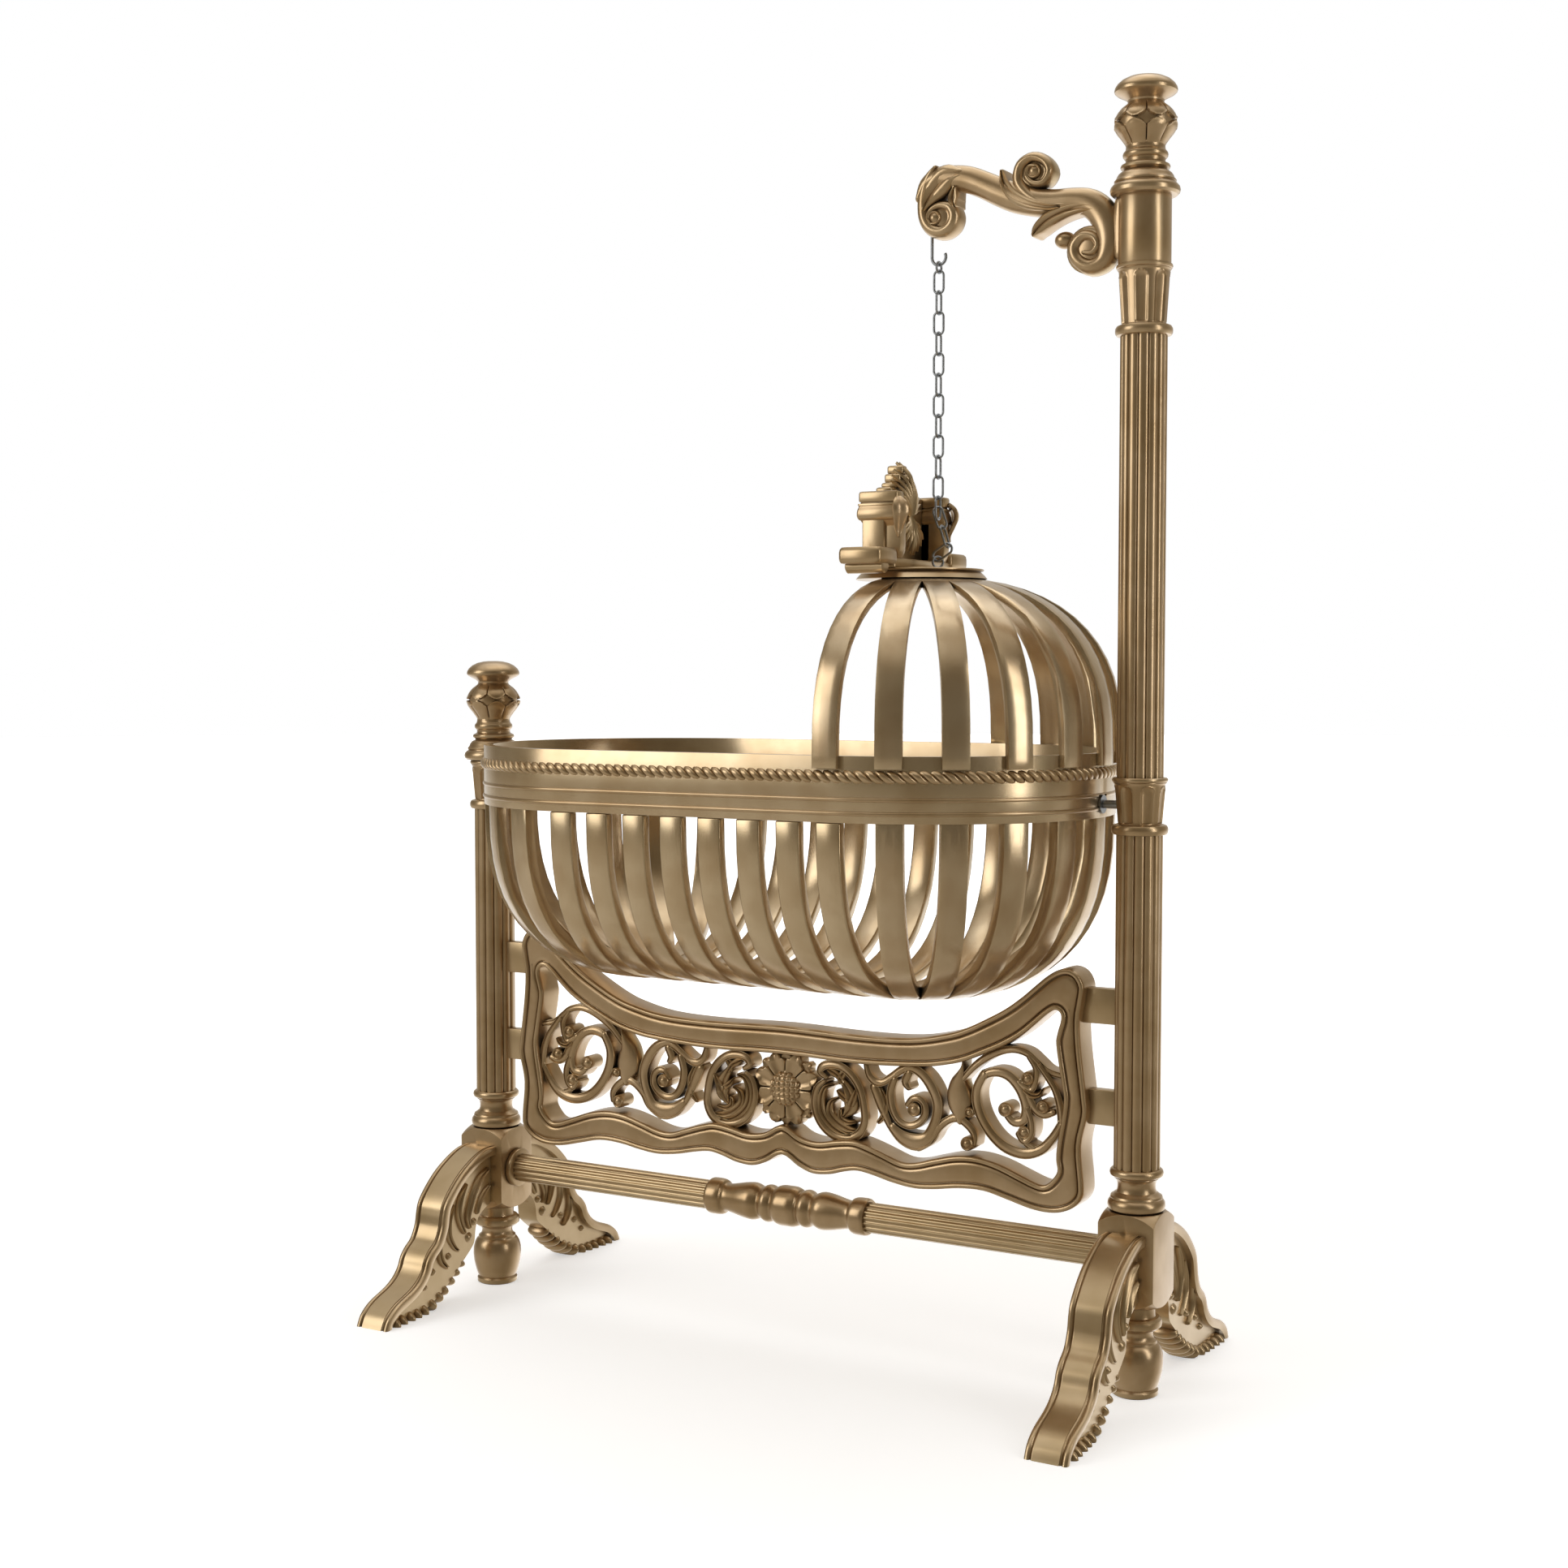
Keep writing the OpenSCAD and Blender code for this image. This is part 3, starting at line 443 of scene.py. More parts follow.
def swept(section: Sequence[Point], places: Sequence[Matrix], closed: bool = False) -> Mesh:
    """Draws a closed section through a row of places.

    Args:
        section: The section's points.
        places: A matrix for each place of the section.
        closed: Whether the last place joins the first.

    Returns:
        The swept bar, with its ends closed.
    """
    around, along = len(section), len(places) + (1 if closed else 0)
    bm = bmesh.new()
    bmesh.ops.create_grid(bm, x_segments=around, y_segments=along - 1, size=1)
    bm.verts.ensure_lookup_table()
    seam = {}
    for j in range(along):
        place = places[j % len(places)]
        for i in range(around + 1):
            v = bm.verts[j * (around + 1) + i]
            v.co = place @ Vector((*section[i % around][:2], 0))
            if i == around or j == len(places):
                seam[v] = bm.verts[j % len(places) * (around + 1) + i % around]
    bmesh.ops.weld_verts(bm, targetmap=seam)
    if not closed:
        bmesh.ops.holes_fill(bm, edges=[e for e in bm.edges if e.is_boundary], sides=0)
    bmesh.ops.recalc_face_normals(bm, faces=bm.faces)
    return bm


def strip(
    path: Sequence[Vector], normal: Vector, section: Sequence[Point], width: float | Sequence[float] = 1.0,
    depth: float | Sequence[float] = 1.0, closed: bool = False, twist: float = 0.0,
) -> Mesh:
    """Sweeps a section along a path, as wide and deep as asked.

    Args:
        path: The path's points.
        normal: The direction that the section's depth keeps to.
        section: The section's points.
        width: One width, or one for each point of the path.
        depth: One depth, or one for each point of the path.
        closed: Whether the path comes back to its start.
        twist: How far the section turns over the whole path, in radians.

    Returns:
        The swept bar.
    """
    count = len(path)
    widths, depths = ([size] * count if isinstance(size, (int, float)) else size for size in (width, depth))
    places = []
    for i, here in enumerate(path):
        ahead = path[(i + 1) % count if closed else min(i + 1, count - 1)]
        behind = path[i - 1 if closed else max(i - 1, 0)]
        along = (ahead - behind).normalized()
        side = along.cross(normal).normalized()
        turned = Matrix((side, side.cross(along), along)).transposed().to_4x4()
        turned = turned @ Matrix.Rotation(twist * i / (count if closed else max(count - 1, 1)), 4, "Z")
        places.append(Matrix.Translation(here) @ turned @ Matrix.Diagonal((widths[i], depths[i], 1, 1)))
    return swept(section, places, closed)


def moved(bm: Mesh, matrix: Matrix) -> Mesh:
    """Moves a whole mesh, and sets its faces outwards again if that mirrored it.

    Args:
        bm: The mesh, which is changed.
        matrix: The move.

    Returns:
        The same mesh.
    """
    bmesh.ops.transform(bm, matrix=matrix, verts=bm.verts)
    if matrix.determinant() < 0:
        bmesh.ops.reverse_faces(bm, faces=bm.faces)
    return bm


def joined(parts: Iterable[Mesh]) -> Mesh:
    """Puts several meshes into one.

    Args:
        parts: The meshes, which are freed.

    Returns:
        The whole mesh.
    """
    whole = bmesh.new()
    for part in parts:
        carrier = bpy.data.meshes.new("carrier")
        part.to_mesh(carrier)
        part.free()
        whole.from_mesh(carrier)
        bpy.data.meshes.remove(carrier)
    return whole


def mirrored(half: Sequence[Point]) -> list[Point]:
    """Makes a closed section from its front half, which runs from one edge to the other."""
    return [*half, *((u, -v) for u, v in reversed(half) if v)]


def carved_section(*quarter: Point) -> list[Point]:
    """Makes a closed section, one unit wide and deep each way, from the part from an edge to the front's middle."""
    return mirrored([*quarter, *((-u, v) for u, v in reversed(quarter[:-1]))])


SCROLL_SECTION = carved_section(
    (-1, 0.5), (-0.99, 0.76), (-0.92, 0.92), (-0.8, 0.93), (-0.7, 0.85), (-0.4, 0.95), (0, 1)
)
LEAF_SECTION = carved_section((-1, 0.4), (-0.96, 0.7), (-0.8, 0.88), (-0.5, 0.98), (-0.2, 0.9), (0, 0.76))
PETAL_SECTION = carved_section(
    (-1, 0.4), (-0.95, 0.74), (-0.84, 0.93), (-0.68, 0.98), (-0.45, 0.9), (-0.2, 0.82), (0, 0.8)
)
ROUND_SECTION = mirrored([(-cos(pi * i / 12), sin(pi * i / 12) ** 0.8) for i in range(13)])
FEATHER_SECTION = [(-1, 0), (-0.7, 0.55), (0, 1), (0.7, 0.55), (1, 0), (0, -0.6)]


TIP_TURNS = (22, 44, 64, 82)
TIP_FLATTEST = 0.55


def strand(
    points: Sequence[Point], place: Place, depth: float, section: Sequence[Point],
    normal: Vector = Vector((0, 1, 0)),
) -> Mesh:
    """Carves one strand that lies in a flat plane, with rounded ends.

    Args:
        points: The strand's course, each point with a width in millimetres as its third number.
        place: Where a drawn point lies in the model.
        depth: Half the strand's thickness.
        section: The strand's section.
        normal: The direction across the plane.

    Returns:
        The strand.
    """
    course = smooth_curve(points, 4)
    path = [place((p[0], p[1])) for p in course]
    halves = [p[2] * MM / 2 for p in course]
    depths = [depth] * len(path)
    for end in (0, -1):
        away = (path[end] - path[1 if end == 0 else -2]).normalized()
        tip, half = path[end].copy(), halves[end]
        for turn in TIP_TURNS:
            reach = radians(turn)
            at = 0 if end == 0 else len(path)
            path.insert(at, tip + away * half * sin(reach))
            halves.insert(at, half * cos(reach))
            depths.insert(at, depth * (TIP_FLATTEST + (1 - TIP_FLATTEST) * cos(reach)))
    return strip(path, normal, section, halves, depths)


BUTTON_FACE = (
    (0, 1), (0.22, 0.99), (0.42, 0.93), (0.56, 0.84), (0.64, 0.83), (0.72, 0.9), (0.82, 0.93), (0.93, 0.86), (1, 0.7),
)


def button(middle: Vector, radius: float, depth: float) -> Mesh:
    """Makes the round eye at the end of a scroll, with a ring sunk into both its faces.

    Args:
        middle: Where its middle is.
        radius: Its radius.
        depth: Half its thickness.

    Returns:
        The eye, which faces along Y.
    """
    profile = [(r * radius, z * depth) for r, z in BUTTON_FACE]
    eye = spun([*profile, *((r, -z) for r, z in reversed(profile))], 28)
    return moved(eye, Matrix.Translation(middle) @ Matrix.Rotation(pi / 2, 4, "X"))


def ball(place: Matrix) -> Mesh:
    """Makes a unit ball and sets it in its place.

    Args:
        place: Its place, which also gives it its size.

    Returns:
        The ball.
    """
    bm = bmesh.new()
    bmesh.ops.create_uvsphere(bm, u_segments=24, v_segments=14, radius=1.0)
    return moved(bm, place)


def squared(levels: Sequence[Point], middle: Vector, half_x: float, half_y: float, corner: float) -> Mesh:
    """Stacks a moulded block with a square plan, as a turning with four sides.

    Args:
        levels: Pairs of inset and height over the middle, in millimetres, from the bottom up.
        middle: The middle of the block's foot.
        half_x: Half its full width along X.
        half_y: Half its full width along Y.
        corner: The radius of its upright corners.

    Returns:
        The block.
    """
    plan = []
    for quarter in range(4):
        sign_x = 1 if quarter in (0, 3) else -1
        sign_y = 1 if quarter in (0, 1) else -1
        for step in range(4):
            turn = TURN * (quarter + (step + 0.5) / 4) / 4
            plan.append((
                sign_x * (half_x - corner) + corner * cos(turn), sign_y * (half_y - corner) + corner * sin(turn),
            ))
    return swept(plan, [
        Matrix.Translation(middle + Vector((0, 0, z)))
        @ Matrix.Diagonal(((half_x - inset) / half_x, (half_y - inset) / half_y, 1, 1))
        for inset, z in mm(levels)
    ])


def slab(ring: Sequence[Vector], push: Vector) -> Mesh:
    """Cuts a board to an outline.

    Args:
        ring: The outline's points, which lie in one plane.
        push: The way from one face of the board to the other.

    Returns:
        The board.
    """
    bm = bmesh.new()
    verts = [bm.verts.new(p) for p in ring]
    edges = [bm.edges.new((verts[i - 1], verts[i])) for i in range(len(verts))]
    bmesh.ops.triangle_fill(bm, use_beauty=True, edges=edges, normal=push)
    out = bmesh.ops.extrude_face_region(bm, geom=bm.faces[:])["geom"]
    bmesh.ops.translate(bm, vec=push, verts=[g for g in out if isinstance(g, bmesh.types.BMVert)])
    bmesh.ops.dissolve_limit(bm, angle_limit=FLAT_ANGLE, verts=bm.verts, edges=bm.edges)
    bmesh.ops.recalc_face_normals(bm, faces=bm.faces)
    return bm


def eased(bm: Mesh, width: float) -> Mesh:
    """Rounds a mesh's sharp outer edges, as sanding does.

    Args:
        bm: The mesh, which is changed.
        width: How far from the edge the rounding starts.

    Returns:
        The same mesh.
    """
    sharp = [e for e in bm.edges if e.is_manifold and e.calc_face_angle(0) > SHARP_ANGLE]
    bmesh.ops.bevel(
        bm, geom=sharp, offset=width, offset_type="OFFSET", affect="EDGES", segments=2,
        profile=0.5, clamp_overlap=True, material=-1,
    )
    return bm


def add_object(name: str, data: bpy.types.ID) -> bpy.types.Object:
    """Adds an object to the scene.

    Args:
        name: The object's name.
        data: Its mesh, light or camera.

    Returns:
        The object.
    """
    made = bpy.data.objects.new(name, data)
    bpy.context.scene.collection.objects.link(made)
    return made


def make_piece(
    name: str, bm: Mesh, body: Body, replaces: Sequence[str], smooth: float = 38.0,
    finish: Finish = GILT, slot: Slot = Slot.WOOD,
) -> None:
    """Makes a finished piece from a mesh.

    Args:
        name: The piece's name.
        bm: Its mesh, in the row frame, which is freed.
        body: The CAD body that it rides on.
        replaces: The CAD nodes that it stands for.
        smooth: The greatest angle that is shaded smooth, in degrees.
        finish: Its finish.
        slot: The record's slot for its finish, which is not used.
    """
    mesh = bpy.data.meshes.new(name)
    bm.to_mesh(mesh)
    bm.free()
    mesh.shade_smooth()
    mesh.set_sharp_from_angle(angle=radians(smooth))
    mesh.materials.append(finish.material())
    piece = add_object(name, mesh)
    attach(piece, body.value)
    if replaces:
        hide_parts(*replaces)
    log.info("%s: %d faces on %s", name, len(mesh.polygons), body.value)


def soften(nodes: Sequence[str], body: Body, width: float, finish: Finish = GILT) -> None:
    """Replaces CAD nodes with copies whose edges are eased.

    Args:
        nodes: The CAD nodes, each of which gets its own piece.
        body: The body that they ride on.
        width: How far from an edge the easing starts, or 0 for none.
        finish: The finish of the copies.
    """
    for node in nodes:
        bm = bmesh.new()
        bm.from_mesh(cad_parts[node].data)
        bmesh.ops.remove_doubles(bm, verts=bm.verts, dist=2e-6)
        bmesh.ops.dissolve_limit(bm, angle_limit=FLAT_ANGLE, verts=bm.verts, edges=bm.edges)
        if width:
            eased(bm, width)
        slot = Slot.STEEL if finish is STEEL else Slot.WOOD
        make_piece(f"{node}_finished", bm, body, (node,), finish=finish, slot=slot)


# ---------------------------------------------------------------- sub-assemblies


@dataclass
class Post:
    """One turned post: foot, block, base turning, reeded shaft, fluted cup and finial."""

    side: Side
    petals: int = 8
    petal_drop: float = 2.4 * MM
    petal_crown: float = 1.3 * MM
    petal_lip: float = 0.9 * MM
    petal_groove: float = 2.6 * MM
    carved_low: float = 68.5 * MM
    carved_high: float = 124.8 * MM
    bulb_low: float = 68 * MM
    bulb_high: float = 125 * MM
    bulb_fade: float = 6 * MM
    flutes: int = 7
    flute_half: float = radians(15)
    flute_depth: float = 3.4 * MM
    flute_edge: float = 0.8 * MM
    flute_foot: float = 17 * MM
    flute_arch: float = 21 * MM
    reeds: int = 13
    reed_depth: float = 3.6 * MM
    foot: Points = (
        (0, 0), (31.5, 0), (33, 1.5), (33, 7.5), (31.8, 9), (30.6, 10.2), (31.2, 11.6), (32.6, 14), (35.6, 24),
        (38.4, 36), (39.5, 48), (39, 58), (36.6, 67), (33.4, 72.5), (31, 74.6), (30.6, 76.4), (30.4, 78),
        (27, 80.6), (25.2, 84), (25, 88), (26.2, 92), (28.4, 94.6), (33, 95.6), (36.6, 99), (37.5, 103.5),
        (36.6, 108), (33, 111.6), (28.4, 112.6), (27.6, 115), (27.6, 130), (0, 130),
    )
    base: Points = (
        (0, 0), (36, 0), (39.4, 3), (40.6, 8), (39.8, 13), (37.4, 16.4), (36.4, 17.4), (36.8, 18.8), (35.8, 21.4),
        (32.6, 23.2), (31.4, 24.4), (28.4, 26.6), (26.7, 31), (26.7, 37), (27.8, 42), (30.4, 45.2), (31.4, 46),
        (31.2, 47.2), (33.6, 48), (36.8, 50.4), (37.8, 54), (36.8, 57.4), (34.6, 59.4), (33, 60), (0, 60),
    )
    finial: Points = (
        (0, 0), (38, 0), (44, 1), (47.2, 4.2), (48, 8), (47, 12), (44, 15.4), (41.6, 16.6), (41.4, 17.6),
        (42.4, 18.6), (42.4, 20.6), (41.2, 22), (40, 23.2), (38.6, 26.8), (36.4, 30), (34, 32), (31, 33.2),
        (29.6, 34.6), (31.2, 36), (33.5, 37.6), (34, 39.8), (33, 42), (30, 43.6), (27.6, 45), (27, 47.6),
        (27.6, 50), (29.2, 51.4), (30.6, 53.4), (31, 56), (30.4, 58.6), (28.8, 60.6), (27.4, 62.4), (26.9, 65),
        (26.7, 68),
    )
    bulb: Points = (
        (26.7, 68), (28.6, 73), (32.8, 79), (37.6, 85), (40.8, 90.5), (41.9, 96), (41.7, 102), (40.2, 107.5),
        (37, 113), (32.8, 118), (28.4, 122), (25.4, 125),
    )
    cap: Points = (
        (24.5, 127), (25.2, 129.5), (28.4, 132.2), (34, 135.2), (39.6, 138), (42.5, 140.6), (43.1, 143),
        (42.2, 146.6), (39.4, 151), (34, 155.8), (26, 159.8), (16, 162.2), (7, 163), (0, 163),
    )

    def stand(self, name: str, bm: Mesh, z: float, node: str, turn: float = 0.0) -> None:
        """Stands a turning in the post's line.

        Args:
            name: The piece's name without its post.
            bm: The turning, drawn from height 0.
            z: The height that it stands at.
            node: The CAD node that it stands for.
            turn: How far it is turned about the post, in radians.
        """
        place = Matrix.Translation((self.side.value * POST_X, 0, z)) @ Matrix.Rotation(turn, 4, "Z")
        make_piece(f"{self.side.label}_{name}", moved(bm, place), Body.STAND, (node,), 32.0)

    def petal_relief(self, at: Point) -> float:
        """How far the carving of the finial's bulb stands out or lies in.

        Args:
            at: The angle from a seam between two petals, the radius and the height over the finial's foot.

        Returns:
            The change of the radius.
        """
        angle, _, z = at
        if not self.carved_low < z < self.carved_high:
            return 0.0
        share = angle % TURN / TURN * self.petals % 1
        seam = 1 - 2 * min(share, 1 - share)
        upper_edge = (100.5 + 9 * seam**1.7) * MM
        lower_edge = (98 - 10 * seam**1.7) * MM
        inside = max(z - upper_edge, lower_edge - z)
        if inside < -0.4 * MM:
            return -self.petal_drop
        crown = self.petal_crown * (1 - seam**3)
        lip = self.petal_lip * exp(-((inside - 0.6 * MM) / (1.1 * MM)) ** 2)
        groove = -self.petal_groove * max(0.0, 1 - (1 - seam) / 0.09)
        low = min(1.0, max(0.0, (z - self.bulb_low) / self.bulb_fade))
        high = min(1.0, max(0.0, (self.bulb_high - z) / self.bulb_fade))
        return (crown + lip + groove) * (low * high)

    def flute_relief(self, at: Point, height: float) -> float:
        """How far an arched flute lies in, or its edge stands out.

        Args:
            at: The angle from the middle of the gap between two flutes, the radius and the height over the cup's foot.
            height: The cup's whole height.

        Returns:
            The change of the radius.
        """
        angle, radius, z = at
        if not self.flute_foot < z < height - 9 * MM or radius < 25 * MM:
            return 0.0
        share = angle / TURN * self.flutes
        across = abs(share - floor(share) - 0.5) * TURN / self.flutes / self.flute_half
        arch = height - self.flute_arch
        reach = hypot(across, max(0.0, (z - arch) / (self.flute_half * radius)))
        if reach > 1.12:
            return 0.0
        depth = -self.flute_depth * sqrt(max(0.0, 1 - reach * reach))
        return depth + self.flute_edge * exp(-(((reach - 1.02) / 0.07) ** 2))

    def reed_relief(self, at: Point) -> float:
        """How far the shaft's surface lies in between two reeds.

        Args:
            at: The angle from a groove, the radius and the height.

        Returns:
            The change of the radius.
        """
        angle, radius, _ = at
        if radius < SHAFT_R - MM:
            return 0.0
        share = angle / TURN * self.reeds
        across = min(1.0, 2 * abs(share - floor(share) - 0.5) * 1.02)
        return -self.reed_depth * (1 - sqrt(max(0.0, 1 - across * across)))

    def carved_finial(self) -> Mesh:
        """Returns the finial, with two rows of petals on its bulb."""
        rows = smooth_curve(self.bulb, 6)
        return carved(mm((*self.finial, *rows[1:-1], *self.cap)), 192, self.petal_relief)

    def fluted_cup(self, height: float) -> Mesh:
        """Turns a cup between two rings, with arched flutes sunk into it.

        Args:
            height: The cup's whole height.

        Returns:
            The cup.
        """
        top = height / MM
        rows = 40
        body = [(30.6 + 4.4 * i / rows, 16.5 + (top - 27) * i / rows) for i in range(rows + 1)]
        profile = mm((
            (0, 0), (34, 0), (37.6, 1.2), (39.3, 4.2), (39.5, 7.5), (39.2, 10.6), (37.4, 13.6), (34, 15), (31, 15.6),
            *body, (35.6, top - 9), (37, top - 7.4), (36.8, top - 6.6), (38.2, top - 5.6), (38.9, top - 3.4),
            (38.2, top - 1.2), (36.6, top), (0, top),
        ))
        return carved(profile, 224, lambda at: self.flute_relief(at, height))

    def reeded_shaft(self, height: float) -> Mesh:
        """Returns a shaft of that height, of convex reeds with deep narrow grooves between them."""
        profile = [(0, 0), (SHAFT_R, 0), (SHAFT_R, 2 * MM), (SHAFT_R, height - 2 * MM), (SHAFT_R, height), (0, height)]
        return carved(profile, 260, self.reed_relief)

    def build(self) -> None:
        """Builds every piece of the post."""
        name = self.side.label
        soften([f"{name}_block"], Body.STAND, 2.2 * MM)
        self.stand("turned_foot", spun(mm(self.foot), 128), 0, f"{name}_foot")
        self.stand("base_rings", spun(mm(self.base), 128), BASE_Z, f"{name}_base_turning")
        self.stand("reeded_lower_shaft", self.reeded_shaft(CUP_Z - SHAFT_Z), SHAFT_Z, f"{name}_lower_shaft")
        turn = pi if self.side is Side.TALL else 0.0
        self.stand("fluted_cup_carved", self.fluted_cup(SHORT_TOP_Z - CUP_Z), CUP_Z, f"{name}_cup", turn)
        seams = TURN / self.petals / 2
        if self.side is Side.SHORT:
            self.stand("petal_finial", self.carved_finial(), SHORT_TOP_Z, "short_finial", seams)
            return
        self.stand("reeded_upper_shaft", self.reeded_shaft(ARM_CUP_Z - SHORT_TOP_Z), SHORT_TOP_Z, "tall_upper_shaft")
        self.stand("fluted_arm_cup", self.fluted_cup(COLLAR_Z - ARM_CUP_Z), ARM_CUP_Z, "tall_arm_cup")
        self.stand("petal_finial", self.carved_finial(), TALL_TOP_Z, "tall_finial", seams)
        soften(["tall_collar"], Body.STAND, 1 * MM)


@dataclass
class Legs:
    """The four scroll legs: a moulded band over a carved web.

    Points are drawn in millimetres as the distance from the line of the posts and the height.
    """

    back: Points = (
        (41, 236), (62, 235), (88, 227), (122, 209), (149, 187), (167, 166), (173, 149), (177, 130), (187, 111),
        (203, 98), (213, 86), (220, 71), (233, 57), (252, 46), (286, 33), (307, 18), (317, 0), (322, -14),
    )
    under: Points = (
        (237, 0), (205, 8), (176, 20), (148, 36), (120, 57), (91, 79), (84, 90), (81, 109), (70, 128), (41, 143),
    )
    band: Points = (
        (14, -29), (9, -30.6), (4.5, -31), (1.6, -30.2), (0.3, -28.4), (0, -26), (0.5, -23.8), (1.8, -22.6),
        (2.8, -22), (2.0, -21.2), (1.2, -20), (1.1, -18.2), (1.7, -16.8), (3.0, -16.2), (3.0, -8), (2.8, 0),
    )
    web_half: float = 19 * MM
    toe: Points = ((296, 4), (272, 3), (240, 4))
    lobes: int = 11
    first_lobe: float = 8 * MM
    lobe_gap: float = 18.5 * MM
    lobe_out: float = 3 * MM
    lobe_size: Point = (34 * MM, 17 * MM, 10.6 * MM)
    lobe_shrink: float = 0.035
    relief: tuple[Points, ...] = (
        ((52, 200, 7), (68, 190, 17), (84, 172, 20), (97, 150, 17), (104, 130, 12), (100, 114, 7)),
        ((48, 172, 7), (60, 162, 14), (72, 149, 14), (79, 134, 9)),
        ((108, 186, 5), (122, 166, 14), (127, 144, 15), (121, 122, 12), (113, 108, 7)),
        ((140, 158, 5), (150, 134, 13), (150, 110, 15), (138, 90, 11), (128, 82, 6)),
        ((172, 112, 5), (176, 92, 12), (170, 74, 13), (158, 62, 8)),
    )
    relief_out: float = 6.5
    relief_step: float = 1.6
    knob_out: float = 6 * MM
    knobs: Points = ((100, 97, 13), (87, 120, 10), (152, 78, 9), (192, 62, 9), (212, 42, 8))

    def leg(self) -> Mesh:
        """Carves one leg, which reaches along +Y from the post's line and stands on the floor.

        Returns:
            The leg.
        """
        def place(point: Point) -> Vector:
            """Finds a drawn point in the leg's own plane."""
            return Vector((0, point[0] * MM, point[1] * MM))

        across = Vector((1, 0, 0))
        back = [place(p) for p in smooth_curve(self.back, 6)]
        parts = [strip(back, across, mirrored(mm(self.band)))]
        outline = [*smooth_curve(self.back[:-1], 6), *smooth_curve(self.under, 4)]
        parts.append(slab([place(p) - across * self.web_half for p in outline], across * self.web_half * 2))
        for i, points in enumerate(self.relief):
            half = self.web_half + (self.relief_out - i % 2 * self.relief_step) * MM
            parts.append(strand(points, place, half, LEAF_SECTION, across))
        for y, z, radius in self.knobs:
            size = Matrix.Diagonal((self.web_half + self.knob_out, radius * MM, radius * MM, 1))
            parts.append(ball(Matrix.Translation(place((y, z))) @ size))
        parts += self.knuckles(place, across)
        whole = joined(parts)
        cut = bmesh.ops.bisect_plane(
            whole, geom=[*whole.verts, *whole.edges, *whole.faces], plane_co=(0, 0, 0), plane_no=(0, 0, -1),
            clear_outer=True,
        )["geom_cut"]
        bmesh.ops.holes_fill(whole, edges=[g for g in cut if isinstance(g, bmesh.types.BMEdge)], sides=0)
        return whole

    def knuckles(self, place: Place, across: Vector) -> list[Mesh]:
        """Makes the row of lobes under the leg, from the floor up.

        Args:
            place: Where a drawn point lies.
            across: The direction across the leg.

        Returns:
            The lobes.
        """
        course = [place(p) for p in smooth_curve((*self.toe, *self.under[1:6]), 8)]
        made = []
        run, target = 0.0, self.first_lobe
        for before, after in zip(course, course[1:]):
            run += (after - before).length
            if run < target or len(made) == self.lobes:
                continue
            target += self.lobe_gap
            along = (after - before).normalized()
            turned = Matrix((across, along.cross(across), along)).transposed().to_4x4()
            grow = 1 - self.lobe_shrink * len(made)
            size = Matrix.Diagonal((*(n * grow for n in self.lobe_size), 1))
            out = along.cross(across).normalized() * self.lobe_out
            if out.z > 0:
                out = -out
            made.append(ball(Matrix.Translation(after + out) @ turned @ size))
        return made

    def build(self) -> None:
        """Builds the legs."""
        for side in Side:
            for end, way in (("front", -1), ("rear", 1)):
                at = Matrix.Translation((side.value * POST_X, 0, 0)) @ Matrix.Diagonal((1, way, 1, 1))
                node = f"{side.label}_{end}_leg"
                make_piece(f"{node}_carved", moved(self.leg(), at), Body.STAND, (node,), 36.0)


@dataclass
class Stretcher:
    """The turned rail low between the posts."""

    def build(self) -> None:
        """Builds the rods, the baluster and the flanges."""
        soften(["short_stretcher_rod", "tall_stretcher_rod", "stretcher_baluster"], Body.STAND, 0)
        soften(["stretcher_flanges"], Body.STAND, 2 * MM)


